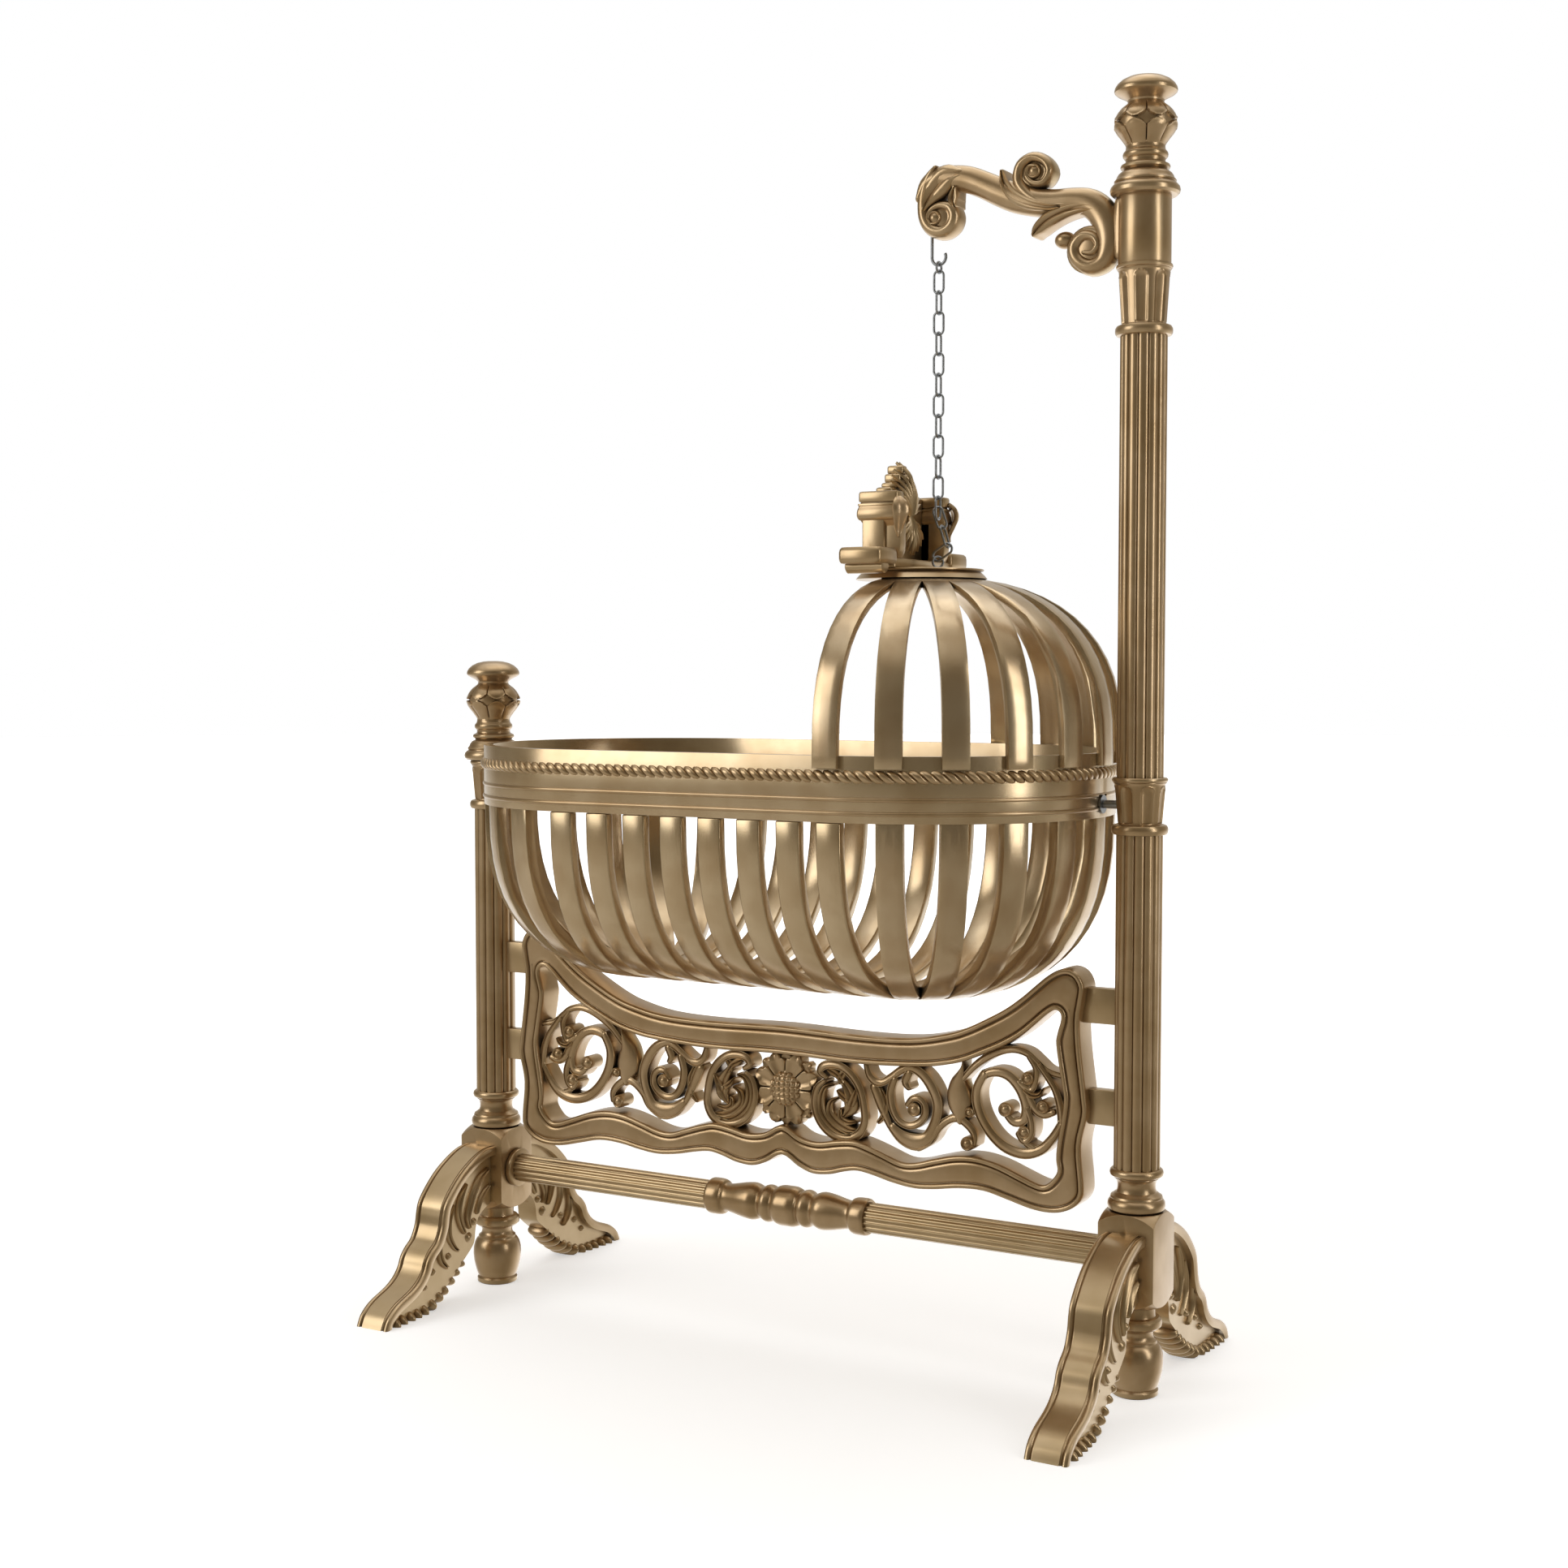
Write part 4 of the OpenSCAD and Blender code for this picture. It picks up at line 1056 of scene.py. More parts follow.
@dataclass
class OpenworkPanel:
    """The carved panel under the cradle: a moulded frame, scrolls, leaves and a flower.

    Points are drawn in millimetres for the tall half, as x and z over the panel's foot, and with a width for a
    stroke. The short half mirrors it.
    """

    foot_z: float = 246 * MM
    wide: float = 497.5 / 501
    high: float = 232 / 234
    face_y: float = 19.0
    scroll_half: float = 17 * MM
    stroke_gain: float = 1.14
    stroke_step: float = 1.1
    leaf_out: float = 0.6
    leaf_step: float = 1.3
    button_out: float = 2.0
    outer: Points = (
        (0, 234), (130, 231), (220, 234), (281, 246), (312, 257), (342, 272), (372, 289), (398, 308), (420, 327),
        (438, 342), (455, 352), (471, 355), (486, 348), (495, 331), (493, 310), (489, 283), (491, 240), (500, 170),
        (501, 145), (492, 101), (496, 50), (495, 29), (484, 14), (466, 4), (444, 0), (415, 2), (377, 11), (340, 19),
        (301, 18), (263, 12), (228, 9), (192, 13), (160, 20), (132, 24), (108, 20), (83, 13), (54, 11), (29, 19),
        (0, 34),
    )
    inner: Points = (
        (0, 190), (132, 187), (231, 192), (274, 198), (308, 207), (338, 220), (368, 234), (398, 252), (420, 270),
        (438, 286), (451, 294), (459, 290), (460, 280), (455, 262), (453, 243), (462, 189), (465, 160), (456, 103),
        (454, 79), (456, 62), (447, 48), (436, 40), (422, 41), (396, 50), (362, 62), (328, 68), (294, 66), (259, 57),
        (228, 48), (204, 47), (176, 56), (148, 65), (124, 70), (95, 67), (62, 61), (33, 65), (13, 76), (0, 80),
    )
    moulding: Points = (
        (0.5, 22.2), (1.7, 24.0), (3.4, 25.0), (5.2, 25.0), (6.8, 24.0), (7.9, 22.2), (8.3, 20.6), (9.0, 20.3),
        (9.5, 21.6), (10.8, 22.9), (12.8, 23.6), (16.0, 24.0),
    )
    strokes: tuple[Points, ...] = (
        ((73, 160, 7), (63, 167, 10), (68, 177, 12), (85, 181, 12), (104, 177, 12), (121, 164, 12), (133, 145, 12),
         (139, 120, 12), (140, 98, 12), (131, 80, 13), (113, 70, 14), (91, 71, 13), (71, 82, 12), (58, 100, 12),
         (53, 122, 11), (58, 143, 9), (69, 153, 7)),
        ((142, 186, 8), (147, 170, 11), (159, 161, 12), (172, 163, 11), (186, 172, 11), (203, 184, 12),
         (218, 188, 12), (236, 180, 14), (251, 163, 15), (261, 140, 15), (260, 120, 14), (253, 100, 15),
         (243, 84, 19), (224, 77, 24), (203, 82, 20), (186, 95, 13)),
        ((155, 152, 14), (168, 124, 14), (182, 96, 9)),
        ((190, 168, 11), (184, 148, 12), (187, 125, 12), (198, 107, 11), (215, 101, 11), (231, 107, 11),
         (241, 120, 11), (240, 135, 10), (231, 143, 10), (220, 142, 9), (212, 132, 8)),
        ((214, 180, 12), (208, 166, 12), (213, 157, 7)),
        ((229, 71, 14), (250, 84, 13), (262, 102, 12), (279, 116, 11), (295, 120, 12), (311, 111, 11),
         (321, 98, 10), (321, 84, 8)),
        ((337, 190, 12), (326, 168, 13), (326, 145, 14), (335, 122, 14), (352, 100, 14), (374, 85, 15),
         (402, 80, 15), (428, 89, 14), (446, 108, 12), (460, 130, 12)),
        ((327, 176, 10), (340, 190, 12), (358, 195, 13), (376, 191, 14), (391, 178, 15), (400, 161, 14),
         (404, 144, 14), (399, 128, 13), (385, 124, 12), (374, 132, 9)),
        ((299, 176, 8), (323, 202, 10), (351, 221, 11), (379, 230, 10), (403, 227, 10), (420, 215, 10),
         (437, 203, 9), (462, 198, 8)),
        ((424, 211, 8), (438, 194, 9), (450, 176, 10), (458, 151, 12), (460, 127, 12)),
        ((408, 222, 8), (419, 205, 9), (417, 186, 10), (411, 174, 10), (401, 177, 12), (392, 183, 10)),
        ((398, 182, 12), (407, 162, 12), (416, 147, 12), (430, 140, 12), (444, 144, 10)),
        ((405, 146, 9), (412, 127, 10), (411, 109, 10), (401, 98, 10), (392, 108, 8)),
        ((398, 100, 8), (408, 92, 9), (420, 88, 9)),
    )
    leaves: tuple[Points, ...] = (
        ((84, 149, 5), (71, 144, 10), (64, 126, 14), (67, 104, 15), (83, 86, 15), (102, 77, 11), (116, 76, 5)),
        ((92, 129, 5), (81, 122, 11), (79, 106, 15), (92, 92, 17), (110, 84, 14), (126, 84, 6)),
        ((97, 112, 6), (97, 100, 12), (108, 94, 12), (122, 96, 6)),
        ((78, 172, 7), (85, 169, 14), (94, 164, 12), (101, 155, 10)),
        ((108, 174, 6), (102, 169, 13), (98, 162, 12), (97, 154, 8)),
        ((97, 160, 10), (106, 149, 15), (114, 134, 23), (114, 118, 25), (106, 106, 11), (101, 102, 4)),
        ((126, 146, 5), (122, 136, 12), (117, 124, 14)),
        ((93, 141, 5), (99, 134, 11), (108, 128, 12)),
        ((166, 152, 6), (174, 134, 12), (172, 114, 12), (162, 100, 7)),
        ((430, 176, 5), (424, 168, 9), (412, 166, 11), (402, 172, 8)),
    )
    bud: Points = (
        (303, 213, 2), (302, 199, 6), (298, 185, 18), (294, 171, 32), (294, 155, 43), (296, 139, 43), (297, 126, 30),
        (297, 118, 16),
    )
    buttons: Points = (
        (223, 126, 9), (310, 84, 8.5), (314, 131, 6), (371, 141, 9), (406, 190, 8), (430, 151, 8), (401, 111, 8),
    )
    flower_z: float = 135.0
    petals: int = 8
    small: Points = ((20, 0, 14), (32, 0, 24), (42, 0, 28), (49, 0, 22), (53, 0, 12))
    broad: Points = ((20, 0, 18), (30, 0, 26), (38, 0, 33), (43, 0, 33), (46, 0, 24))
    small_half: float = 10 * MM
    broad_half: float = 14.0
    broad_step: float = 0.8
    dome_r: float = 30 * MM
    dome_rise: float = 7 * MM
    dome_rows: int = 44
    dome_swell: float = 2.6
    lattice: float = 9.4 * MM
    groove: float = 1.5 * MM

    def place(self, point: Point, side: int = 1) -> Vector:
        """Finds a drawn point in the model.

        Args:
            point: The drawn x and z.
            side: 1 for the tall half, -1 for the short half.
        """
        return Vector((side * point[0] * self.wide * MM, 0, self.foot_z + point[1] * self.high * MM))

    def outline(self, half: Sequence[Point]) -> list[Vector]:
        """Runs a closed smooth curve through half an outline and its mirror image."""
        whole = [*half, *((-x, z) for x, z in reversed(half) if x)]
        return [self.place(p) for p in smooth_curve(whole, 4, closed=True)]

    def frame(self) -> Mesh:
        """Moulds the frame: its faces are stepped in from both outlines by the moulding's profile.

        Returns:
            The frame.
        """
        bm = bmesh.new()
        for half in (self.outer, self.inner):
            ring = [bm.verts.new(p - Vector((0, self.face_y * MM, 0))) for p in self.outline(half)]
            for pair in zip(ring[-1:] + ring, ring):
                bm.edges.new(pair)
        bmesh.ops.triangle_fill(bm, use_beauty=True, edges=bm.edges, normal=(0, -1, 0))
        bmesh.ops.recalc_face_normals(bm, faces=bm.faces)
        if sum(f.normal.y * f.calc_area() for f in bm.faces) > 0:
            bmesh.ops.reverse_faces(bm, faces=bm.faces)
        face = list(bm.faces)
        for before, after in zip(((0.0, self.face_y), *self.moulding), self.moulding):
            bmesh.ops.inset_region(
                bm, faces=face, thickness=(after[0] - before[0]) * MM, depth=(after[1] - before[1]) * MM,
                use_boundary=True, use_even_offset=True,
            )
        for v in bmesh.ops.extrude_edge_only(bm, edges=[e for e in bm.edges if e.is_boundary])["geom"]:
            if isinstance(v, bmesh.types.BMVert):
                v.co.y = 0
        whole = joined([bm, moved(bm.copy(), Matrix.Diagonal((1, -1, 1, 1)))])
        bmesh.ops.remove_doubles(whole, verts=whole.verts, dist=1e-6)
        bmesh.ops.recalc_face_normals(whole, faces=whole.faces)
        return whole

    def scrolls(self, side: int) -> Mesh:
        """Carves one half of the openwork.

        Args:
            side: 1 for the tall half, -1 for the short half.

        Returns:
            The scrolls, leaves, bud and berries.
        """
        def place(point: Point) -> Vector:
            """Finds a drawn point on this half."""
            return self.place(point, side)

        parts = []
        for i, points in enumerate(self.strokes):
            fuller = [(x, z, width * self.stroke_gain) for x, z, width in points]
            parts.append(strand(fuller, place, self.scroll_half - i % 3 * self.stroke_step * MM, SCROLL_SECTION))
        for i, points in enumerate(self.leaves):
            half = self.scroll_half + (self.leaf_out - i % 3 * self.leaf_step) * MM
            parts.append(strand(points, place, half, LEAF_SECTION))
        parts.append(strand(self.bud, place, self.scroll_half, ROUND_SECTION))
        for x, z, radius in self.buttons:
            out = self.button_out
            parts.append(button(place((x, z)), (radius + out) * MM, self.scroll_half + out * MM))
        return joined(parts)

    def flower(self) -> Mesh:
        """Carves two rows of petals round a dome that is cut like a lattice.

        Returns:
            The flower.
        """
        middle = self.place((0, self.flower_z))

        def place_at(turn: float) -> Place:
            """Lays a petal's own points out in its direction."""
            return lambda p: middle + Vector((cos(turn), 0, sin(turn))) * p[0] * MM

        parts = []
        for i in range(self.petals):
            turn = TURN * (i + 0.5) / self.petals
            half = (self.broad_half + i % 2 * self.broad_step) * MM
            parts.append(strand(self.small, place_at(turn + TURN / self.petals / 2), self.small_half, PETAL_SECTION))
            parts.append(strand(self.broad, place_at(turn), half, PETAL_SECTION))
        top = self.scroll_half + self.dome_rise
        reaches = [1 - (1 - i / self.dome_rows) ** 1.6 for i in range(self.dome_rows + 1)]
        swell = self.dome_swell
        profile = [(self.dome_r * t, top * max(0.0, 1 - t**swell) ** (1 / swell)) for t in reaches]
        profile += [(r, -z) for r, z in reversed(profile[:-1])]
        dome = moved(spun(profile, 132), Matrix.Rotation(pi / 2, 4, "X"))
        for v in dome.verts:  # sinks the lattice's grooves
            depth = 0.0
            for way in (v.co.x, v.co.z):
                share = asin(max(-1.0, min(1.0, way / self.dome_r))) * self.dome_r / self.lattice
                off = abs(share - round(share - 0.5) - 0.5) * self.lattice
                depth = max(depth, self.groove * 1.5 * exp(-((off / self.groove) ** 2)))
            v.co = v.co * (1 - depth / max(v.co.length, 1e-6))
        parts.append(moved(dome, Matrix.Translation(middle)))
        return joined(parts)

    def build(self) -> None:
        """Builds the frame and the carving."""
        make_piece(
            "panel_frame_moulded", self.frame(), Body.STAND,
            ("panel_top_rail", "panel_bottom_rail", "panel_short_stile", "panel_tall_stile"), 50.0,
        )
        for side in Side:
            node = f"panel_{side.label}_scrolls"
            make_piece(f"{node}_carved", self.scrolls(side.value), Body.STAND, (node,), 34.0)
        make_piece("panel_flower_carved", self.flower(), Body.STAND, ("panel_flower",), 40.0)


@dataclass
class CarvedArm:
    """The arm that carries the chain: a stem with three scrolls, leaves and a bud.

    Points are drawn in millimetres as the distance from the tall post's axis and the height over the collar's foot.
    """

    depth: float = 19 * MM
    root_depth: float = 17 * MM
    disc_depth: float = 14 * MM
    leaf_out: float = 1.6
    leaf_step: float = 1.2
    stem: Points = (
        (340, 124, 14), (330, 142, 26), (312, 150, 34), (290, 148, 38), (266, 144, 38), (242, 134, 38),
        (216, 121, 40), (190, 110, 42), (160, 101, 40), (132, 97, 38), (104, 96, 38), (80, 91, 40), (62, 76, 42),
        (52, 54, 40), (50, 30, 36), (58, 9, 28), (77, 3, 25), (95, 14, 23), (100, 31, 22), (88, 45, 20),
        (71, 43, 16), (64, 31, 13), (72, 21, 11), (84, 22, 8),
    )
    root: Points = ((30, 84, 26), (30, 60, 34), (30, 36, 34), (32, 18, 22))
    crook: Points = (
        (314, 165, 6), (324, 152, 18), (331, 134, 22), (334, 114, 22), (332, 94, 21), (322, 79, 21), (305, 73, 21),
        (290, 80, 21), (285, 94, 20), (292, 107, 18), (308, 110, 14), (321, 104, 11), (325, 94, 9), (320, 85, 7),
    )
    curl: Points = (
        (112, 91, 5), (132, 93, 12), (152, 100, 18), (172, 113, 21), (185, 132, 20), (181, 153, 19), (163, 162, 18),
        (145, 155, 16), (137, 140, 15), (146, 126, 13), (161, 126, 12), (171, 137, 11), (167, 149, 9),
        (158, 149, 7),
    )
    leaves: tuple[Points, ...] = (
        ((208, 147, 6), (205, 130, 14), (192, 112, 20), (168, 98, 18), (140, 90, 12), (120, 88, 4)),
        ((70, 82, 8), (92, 84, 16), (116, 81, 20), (138, 73, 22), (153, 62, 18), (159, 54, 8)),
        ((276, 152, 16), (294, 150, 36), (312, 136, 38), (326, 118, 22), (331, 104, 5)),
        ((282, 132, 8), (286, 118, 16), (283, 108, 8)),
    )
    bud: Point = (117, 44, 14)
    discs: Points = ((78, 26, 33), (161, 142, 22), (309, 93, 24))
    eyes: Points = ((315, 93, 11), (160, 142, 11))

    def place(self, point: Point) -> Vector:
        """Finds a drawn point in the model."""
        return Vector((POST_X - point[0] * MM, 0, COLLAR_Z + point[1] * MM))

    def build(self) -> None:
        """Builds the arm."""
        depth = self.depth
        parts = [
            strand(points, self.place, half, ROUND_SECTION)
            for points, half in (
                (self.stem, depth), (self.root, self.root_depth), (self.crook, depth), (self.curl, depth)
            )
        ]
        for i, points in enumerate(self.leaves):
            half = depth + (self.leaf_out - i % 2 * self.leaf_step) * MM
            parts.append(strand(points, self.place, half, LEAF_SECTION))
        for buttons, half in ((self.discs, self.disc_depth), (self.eyes, depth)):
            parts += [button(self.place((x, z)), radius * MM, half) for x, z, radius in buttons]
        x, z, radius = self.bud
        size = Matrix.Diagonal((radius * 1.1 * MM, radius * MM, radius * 0.85 * MM, 1))
        parts.append(ball(Matrix.Translation(self.place((x, z))) @ size))
        make_piece("arm_carved", joined(parts), Body.STAND, ("arm",), 40.0)


@dataclass
class Basket:
    """The cradle's rim, its rope moulding and its ribs."""

    rope_r: float = 280 * MM
    rope_pitch: float = 45 * MM
    rope_steps: int = 25
    rope_strands: int = 3
    strand_out: float = 9.6
    strand_in: float = 4.0
    section_points: int = 33

    def rope(self) -> Mesh:
        """Twists the strands along the rim's outline, all the way round.

        Returns:
            The rope.
        """
        path = []
        steps = 40
        for end in (1, -1):
            for i in range(steps * 2):
                turn = pi * (i / (steps * 2) - 0.5)
                reach = END_X + self.rope_r * cos(turn)
                path.append(Vector((end * reach, end * self.rope_r * sin(turn), 0)))
            for i in range(steps):
                path.append(Vector((end * (END_X - 2 * END_X * i / steps), end * self.rope_r, 0)))
        turns = round((4 * END_X + TURN * self.rope_r) / self.rope_pitch)
        course = [Vector((*p.xy, ROPE_Z)) for p in self.evened(path, turns * self.rope_steps)]
        section = []
        for i in range(self.section_points):
            phi = TURN * i / self.section_points
            r = (self.strand_out - self.strand_in * (1 - abs(sin(phi * self.rope_strands / 2))) ** 2) * MM
            section.append((r * cos(phi), r * sin(phi)))
        return strip(course, Vector((0, 0, 1)), section, closed=True, twist=-TURN * turns)

    def evened(self, path: Sequence[Vector], count: int) -> list[Vector]:
        """Spaces points evenly along a closed path.

        Args:
            path: The path's points.
            count: How many points to make.

        Returns:
            The points.
        """
        ring = [*path, path[0]]
        runs = [0.0]
        for before, after in zip(ring, ring[1:]):
            runs.append(runs[-1] + (after - before).length)
        made, at = [], 0
        for i in range(count):
            want = runs[-1] * i / count
            while runs[at + 1] < want:
                at += 1
            made.append(ring[at].lerp(ring[at + 1], (want - runs[at]) / (runs[at + 1] - runs[at])))
        return made

    def build(self) -> None:
        """Builds the rim, its mouldings and the ribs."""
        soften(["rim_band"], Body.CRADLE, 2.5 * MM, SATIN_GILT)
        make_piece("rope_moulding_twisted", self.rope(), Body.CRADLE, ("rope_moulding",), 60.0, FINE_GILT)
        soften(["rim_beads"], Body.CRADLE, 0.6 * MM)
        ribs = [f"{end}_{row}_ribs" for row in ("side", "end") for end in ("foot", "head")]
        soften(ribs, Body.CRADLE, 2.5 * MM, SATIN_GILT)


@dataclass
class Hood:
    """The ribbed hood over the head of the cradle, with its plate and its carved crest.

    The crest's points are drawn in millimetres, with the height over the plate.
    """

    crest_x: float = 196 * MM
    half_x: float = 34 * MM
    lip_y: float = 75.0
    post_y: float = 62.0
    foot_y: float = 115.0
    roll_y: float = 119.0
    base_levels: Points = ((1, 0), (0, 1.5), (0, 12.5), (1.5, 14))
    wall_levels: Points = ((0, 10), (0, 106), (1.5, 109), (4, 110))
    lip_levels: Points = (
        (9, 60), (8, 63), (5.4, 66.6), (4.4, 68.6), (2.6, 69.2), (0.9, 71.6), (0, 75), (0, 80), (0.7, 84), (2, 87.4),
        (2.2, 89), (1.2, 90), (1.4, 92.4), (4.4, 93.2), (4.8, 94.6), (3, 95.2), (2.4, 97), (2.4, 106.6), (3.4, 109.2),
        (5.4, 110), (9, 110.4),
    )
    post_outline: Points = (
        (-26, 72), (34, 72), (34, 34), (33, 24), (29, 14), (22, 6.5), (12, 2), (0, 0), (-20, 0), (-24, 8), (-26, 20),
    )
    recess_outline: Points = (
        (-26, 72), (10, 72), (10, 20), (6, 8), (-2, 2), (-20, 2), (-24, 8), (-26, 20),
    )
    bars: Points = ((110, 44, 9), (118, 27, 9), (126.5, 17, 14), (140, 8.5, 13))
    foot_levels: Points = ((5, 4), (2.2, 5), (0.5, 8), (0, 12), (0, 20), (0.8, 24.6), (3, 27.4), (6, 28))
    roll: Points = ((0, -31), (8, -31), (10, -29), (10, 29), (8, 31), (0, 31))
    corner_leaf: Points = (
        (31, 81, 100, 9), (36.5, 86.5, 92, 21), (38.5, 88.5, 80, 23), (35, 85, 66, 18), (31.5, 81, 53, 10),
        (32, 81, 44, 3),
    )
    disc: Points = (
        (0, -15), (94, -15), (96, -14), (92, -9), (87, -4.4), (86.6, -3.4), (90.2, -3), (91, -2.2), (91, -0.8),
        (90, 0), (0, 0),
    )
    fan: int = 15

    def at(self, x: float, y: float, z: float) -> Vector:
        """Finds a drawn point of the crest in the model."""
        return Vector((self.crest_x + x * MM, y * MM, PLATE_TOP_Z + z * MM))

    def feather(self, points: Sequence[Point]) -> Mesh:
        """Carves one strand of the plume.

        Args:
            points: Its course, as x, y, z and width.

        Returns:
            The strand.
        """
        course = smooth_curve(points, 5)
        path = [self.at(*p[:3]) for p in course]
        halves = [p[3] * MM / 2 for p in course]
        return strip(path, Vector((1, 0, 0)), FEATHER_SECTION, halves, 2.8 * MM)

    def plume(self) -> Mesh:
        """Carves strands that fan up and down from a waist between the crest's two blocks.

        Returns:
            The plume.
        """
        parts = []
        for way in (-1, 1):
            for i in range(self.fan):
                lean = i / (self.fan - 1)
                root = (9 - 4 * lean, way * 2 * lean)
                turn = radians(3 + 73 * lean)
                length = 79 - 30 * lean**0.6 - 8 * (i % 2)
                tip_y, tip_z = way * sin(turn) * length, cos(turn) * length
                parts.append(self.feather((
                    (*root, 76, 2.6), (13 - 3 * lean, tip_y * 0.22, 78 + tip_z * 0.34, 3.8),
                    (8 - 2 * lean, tip_y * 0.58, 78 + tip_z * 0.74, 5.2), (-13 + 15 * lean, tip_y, 78 + tip_z, 1.4),
                )))
                if i % 2:
                    continue
                turn = radians(4 + 50 * lean)
                length = 56 - 12 * lean - 7 * (i % 4)
                tip_y, tip_z = way * sin(turn) * length, cos(turn) * length
                parts.append(self.feather((
                    (*root, 82, 2.6), (14 - 3 * lean, tip_y * 0.34, 78 - tip_z * 0.36, 3.8),
                    (16 - 2 * lean, tip_y * 0.7, 78 - tip_z * 0.7, 4.8), (11, tip_y, 78 - tip_z, 1.2),
                )))
        return joined(parts)

    def post(self, outline: Sequence[Point], far: float, way: int) -> Mesh:
        """Cuts a bracket from a board that stands across the crest.

        Args:
            outline: The bracket's outline, as x and height.
            far: How far its outer face is from the crest's middle.
            way: -1 for the front, 1 for the rear.

        Returns:
            The bracket, with its edges eased.
        """
        ring = [self.at(x, way * self.post_y, z) for x, z in outline]
        return eased(slab(ring, Vector((0, way * (far - self.post_y) * MM, 0))), 2.2 * MM)

    def block(self, way: int) -> Mesh:
        """Makes one of the two moulded brackets, with its foot and the leaf that hangs over its corner.

        Args:
            way: -1 for the front block, 1 for the rear one.

        Returns:
            The block.
        """
        leaf = smooth_curve(self.corner_leaf, 5)
        outwards = Vector((1, way, 0)).normalized()
        roll = Matrix.Translation(self.at(0, way * self.roll_y, 1)) @ Matrix.Rotation(pi / 2, 4, "Y")
        return joined([
            squared(self.lip_levels, self.at(0, way * self.lip_y, 0), self.half_x, 14 * MM, 4.5 * MM),
            self.post(self.post_outline, 80, way),
            self.post(self.recess_outline, 85, way),
            squared(self.foot_levels, self.at(0, way * self.foot_y, 0), self.half_x, 29 * MM, 7 * MM),
            moved(spun(mm(self.roll), 32), roll),
            strip(
                [self.at(p[0], way * p[1], p[2]) for p in leaf], outwards, LEAF_SECTION,
                [p[3] * MM / 2 for p in leaf], 3.2 * MM,
            ),
        ])

    def build(self) -> None:
        """Builds the ribs, the plate, which is a thin disc on a narrower one, and the crest."""
        soften(["hood_ribs"], Body.CRADLE, 1.8 * MM, SATIN_GILT)
        plate = moved(spun(mm(self.disc), 128), Matrix.Translation((END_X, 0, PLATE_TOP_Z)))
        make_piece("hood_plate_turned", plate, Body.CRADLE, ("hood_plate",), 34.0)
        base = squared(self.base_levels, self.at(0, 0, 0), 31 * MM, 92 * MM, 3 * MM)
        wall = squared(self.wall_levels, self.at(-17, 0, 0), 14 * MM, 63 * MM, 3 * MM)
        bars = []
        for z, half, height in self.bars:
            steps = ((3, 0), (0.8, 1.2), (0, 3), (0, height - 3), (0.8, height - 1.2), (3, height))
            bars.append(squared(steps, self.at(-13, 0, z), 13 * MM, half * MM, 3.6 * MM))
        for name, bm, nodes, smooth in (
            ("crest_base", base, ("crest_foot",), 40.0),
            ("crest_wall", wall, ("crest_board",), 40.0),
            ("crest_bars", joined(bars), ("crest_steps",), 40.0),
            ("crest_front_block", self.block(-1), ("crest_cap",), 34.0),
            ("crest_rear_block", self.block(1), (), 34.0),
            ("crest_plume_carved", self.plume(), ("crest_plume",), 50.0),
        ):
            make_piece(name, bm, Body.CRADLE, nodes, smooth, FINE_GILT)


@dataclass
class Hardware:
    """The steel parts and the dowels, which keep their CAD shapes."""

    dowels: tuple[str, ...] = ("post_dowels", "leg_dowels", "stretcher_dowels", "arm_dowels")

    def build(self) -> None:
        """Dresses the steel and the wood that hold the pieces together."""
        for node in self.dowels:
            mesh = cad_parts[node].data
            mesh.materials.clear()
            mesh.materials.append(BEECH.material())
        soften(["panel_pegs"], Body.STAND, 1 * MM)
        soften(["pivot_pins", "pivot_spacers", "chain_hook"], Body.STAND, 0, STEEL)
        soften(["pivot_bushes", "chain_eye", "slack_links"], Body.CRADLE, 0, STEEL)
        soften(["chain_ring", "chain_links"], Body.CHAIN, 0, STEEL)


# ---------------------------------------------------------------- studio


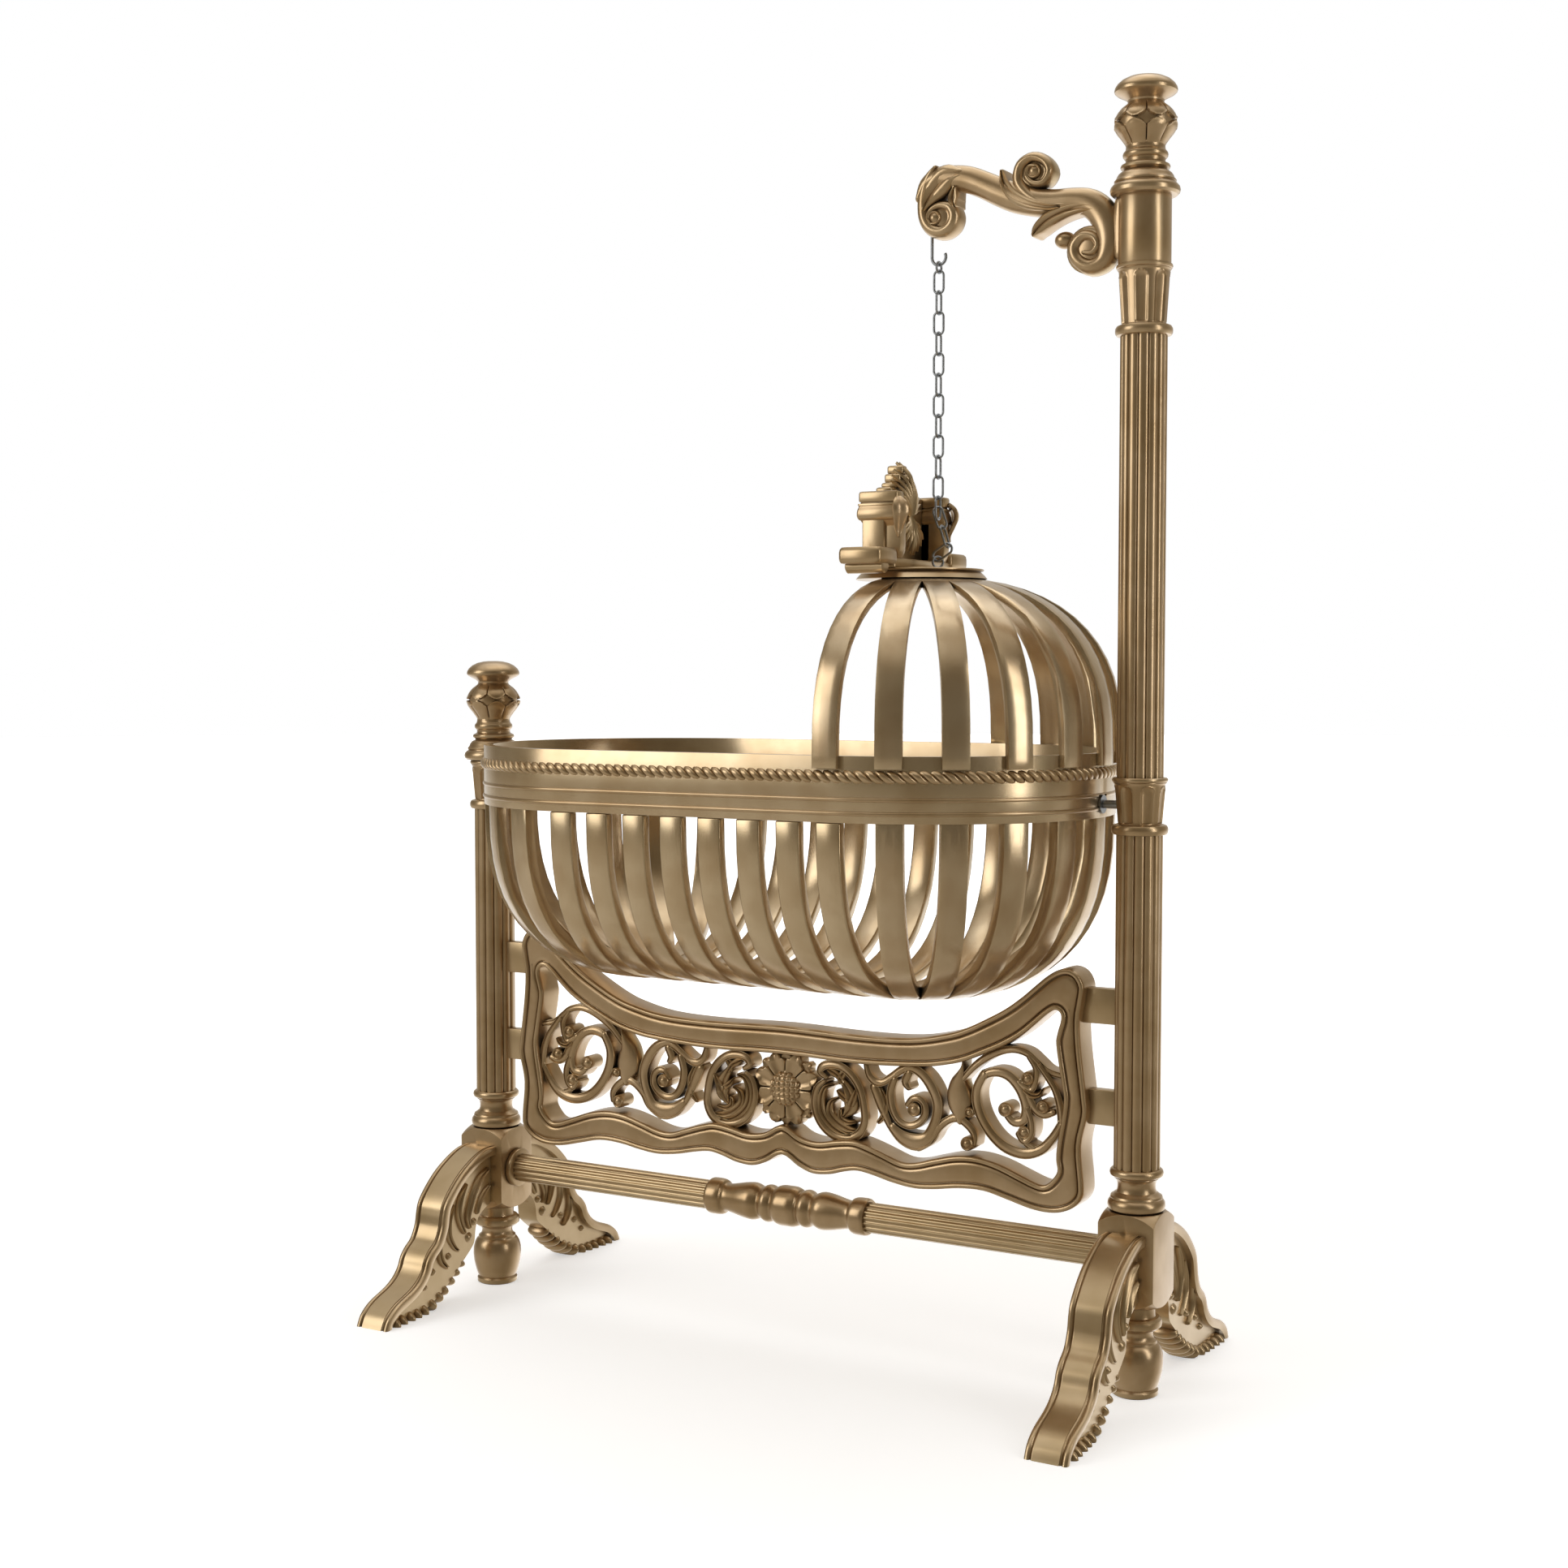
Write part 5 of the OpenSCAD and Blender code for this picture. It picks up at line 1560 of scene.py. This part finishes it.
@dataclass
class Studio:
    """The floor, the lights and the camera."""

    eye: Point = (1.66039, -2.86167, 1.02358)
    azimuth: float = 30.2615
    down: float = 3.0820
    lens: float = 50.0
    aim: Point = (0.0, 0.0, 0.85)
    shade: str = "#d3bd90"
    heights: Points = ((0.35, 0.55), (0.475, 0.34), (0.55, 0.22), (0.825, 0.26), (0.925, 0.9))
    softboxes: tuple[tuple[str, Point, Point, float], ...] = (
        ("key", (-2.7, -3.3, 2.5), (2.2, 2.8), 48.0),
        ("rim", (3.2, -0.4, 1.7), (0.5, 2.8), 17.0),
        ("top", (-0.2, 0.2, 4.2), (2.4, 2.0), 10.0),
    )

    def camera(self) -> None:
        """Sets the camera where the photograph was taken from."""
        data = bpy.data.cameras.new("camera")
        data.lens = self.lens
        data.sensor_width = 36.0
        data.clip_end = 100.0
        camera = add_object("camera", data)
        camera.location = self.eye
        camera.rotation_euler = (radians(90 - self.down), 0, radians(self.azimuth))
        bpy.context.scene.camera = camera

    def lights(self) -> None:
        """Hangs the softboxes, each a name, a place, a width and height and a power in watts, to face the cradle."""
        for name, place, size, power in self.softboxes:
            data = bpy.data.lights.new(name, "AREA")
            data.shape = "RECTANGLE"
            data.size, data.size_y = size
            data.energy = power
            light = add_object(name, data)
            light.location = place
            light.rotation_euler = (Vector(self.aim) - Vector(place)).to_track_quat("-Z", "Y").to_euler()

    def floor(self) -> None:
        """Lays the floor, which the metal doesn't mirror."""
        bm = bmesh.new()
        bmesh.ops.create_circle(bm, cap_ends=True, segments=96, radius=30)
        mesh = bpy.data.meshes.new("studio_floor")
        bm.to_mesh(mesh)
        bm.free()
        mesh.materials.append(FLOOR.material())
        floor = add_object("studio_floor", mesh)
        floor.visible_glossy = False
        floor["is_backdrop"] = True

    def sky(self) -> None:
        """Sets the white backdrop, and the room that the metal mirrors.

        The floor, the ceiling and the wall behind the cradle are pale, and the rest of the room is dim and warm.
        """
        world = bpy.data.worlds.new("studio")
        world.use_nodes = True
        world.node_tree.nodes.clear()
        graph = Graph(world.node_tree)
        way = graph.add("SeparateXYZ", Vector=graph.add("TexCoord").outputs["Generated"]).outputs
        room = graph.ramp(graph.spread(way["Z"], (0.0, 1.0), (-1.0, 1.0)), self.heights)
        for axis, to, start in (("X", (0.65, 1.12), (0.7, -0.8)), ("Y", (1.0, 3.0), (0.2, 0.95))):
            side = graph.spread(way[axis], to, start)
            room = graph.add("Math", {"operation": "MULTIPLY"}, i0=room, i1=side).outputs["Value"]
        seen = graph.add("LightPath").outputs["Is Camera Ray"]
        strength = graph.add("Mix", {"data_type": "FLOAT"}, i0=seen, i2=room, i3=1.0).outputs["Result"]
        white = graph.add("Background", Color=graph.mix(strength, self.shade, "#ffffff"), Strength=strength)
        graph.add("OutputWorld", Surface=white.outputs["Background"])
        bpy.context.scene.world = world

    def build(self) -> None:
        """Builds the studio."""
        self.camera()
        self.floor()
        self.sky()
        self.lights()
        bpy.context.scene.view_settings.view_transform = "Standard"


def write_sizes() -> None:
    boxes = {"cad": CAD_BOX, "visual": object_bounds()}
    {name: [list(corner) for corner in box] for name, box in boxes.items()}


def main() -> None:
    """Builds the studio and every sub-assembly in order."""
    logging.basicConfig(level=logging.INFO, format="%(name)s: %(message)s")
    Studio().build()
    for part in (
        Post(Side.SHORT), Post(Side.TALL), Legs(), Stretcher(), OpenworkPanel(), CarvedArm(), Basket(), Hood(),
        Hardware(),
    ):
        part.build()
        log.info("%s is done", type(part).__name__)
    write_sizes()


if __name__ == "__main__":
    main()
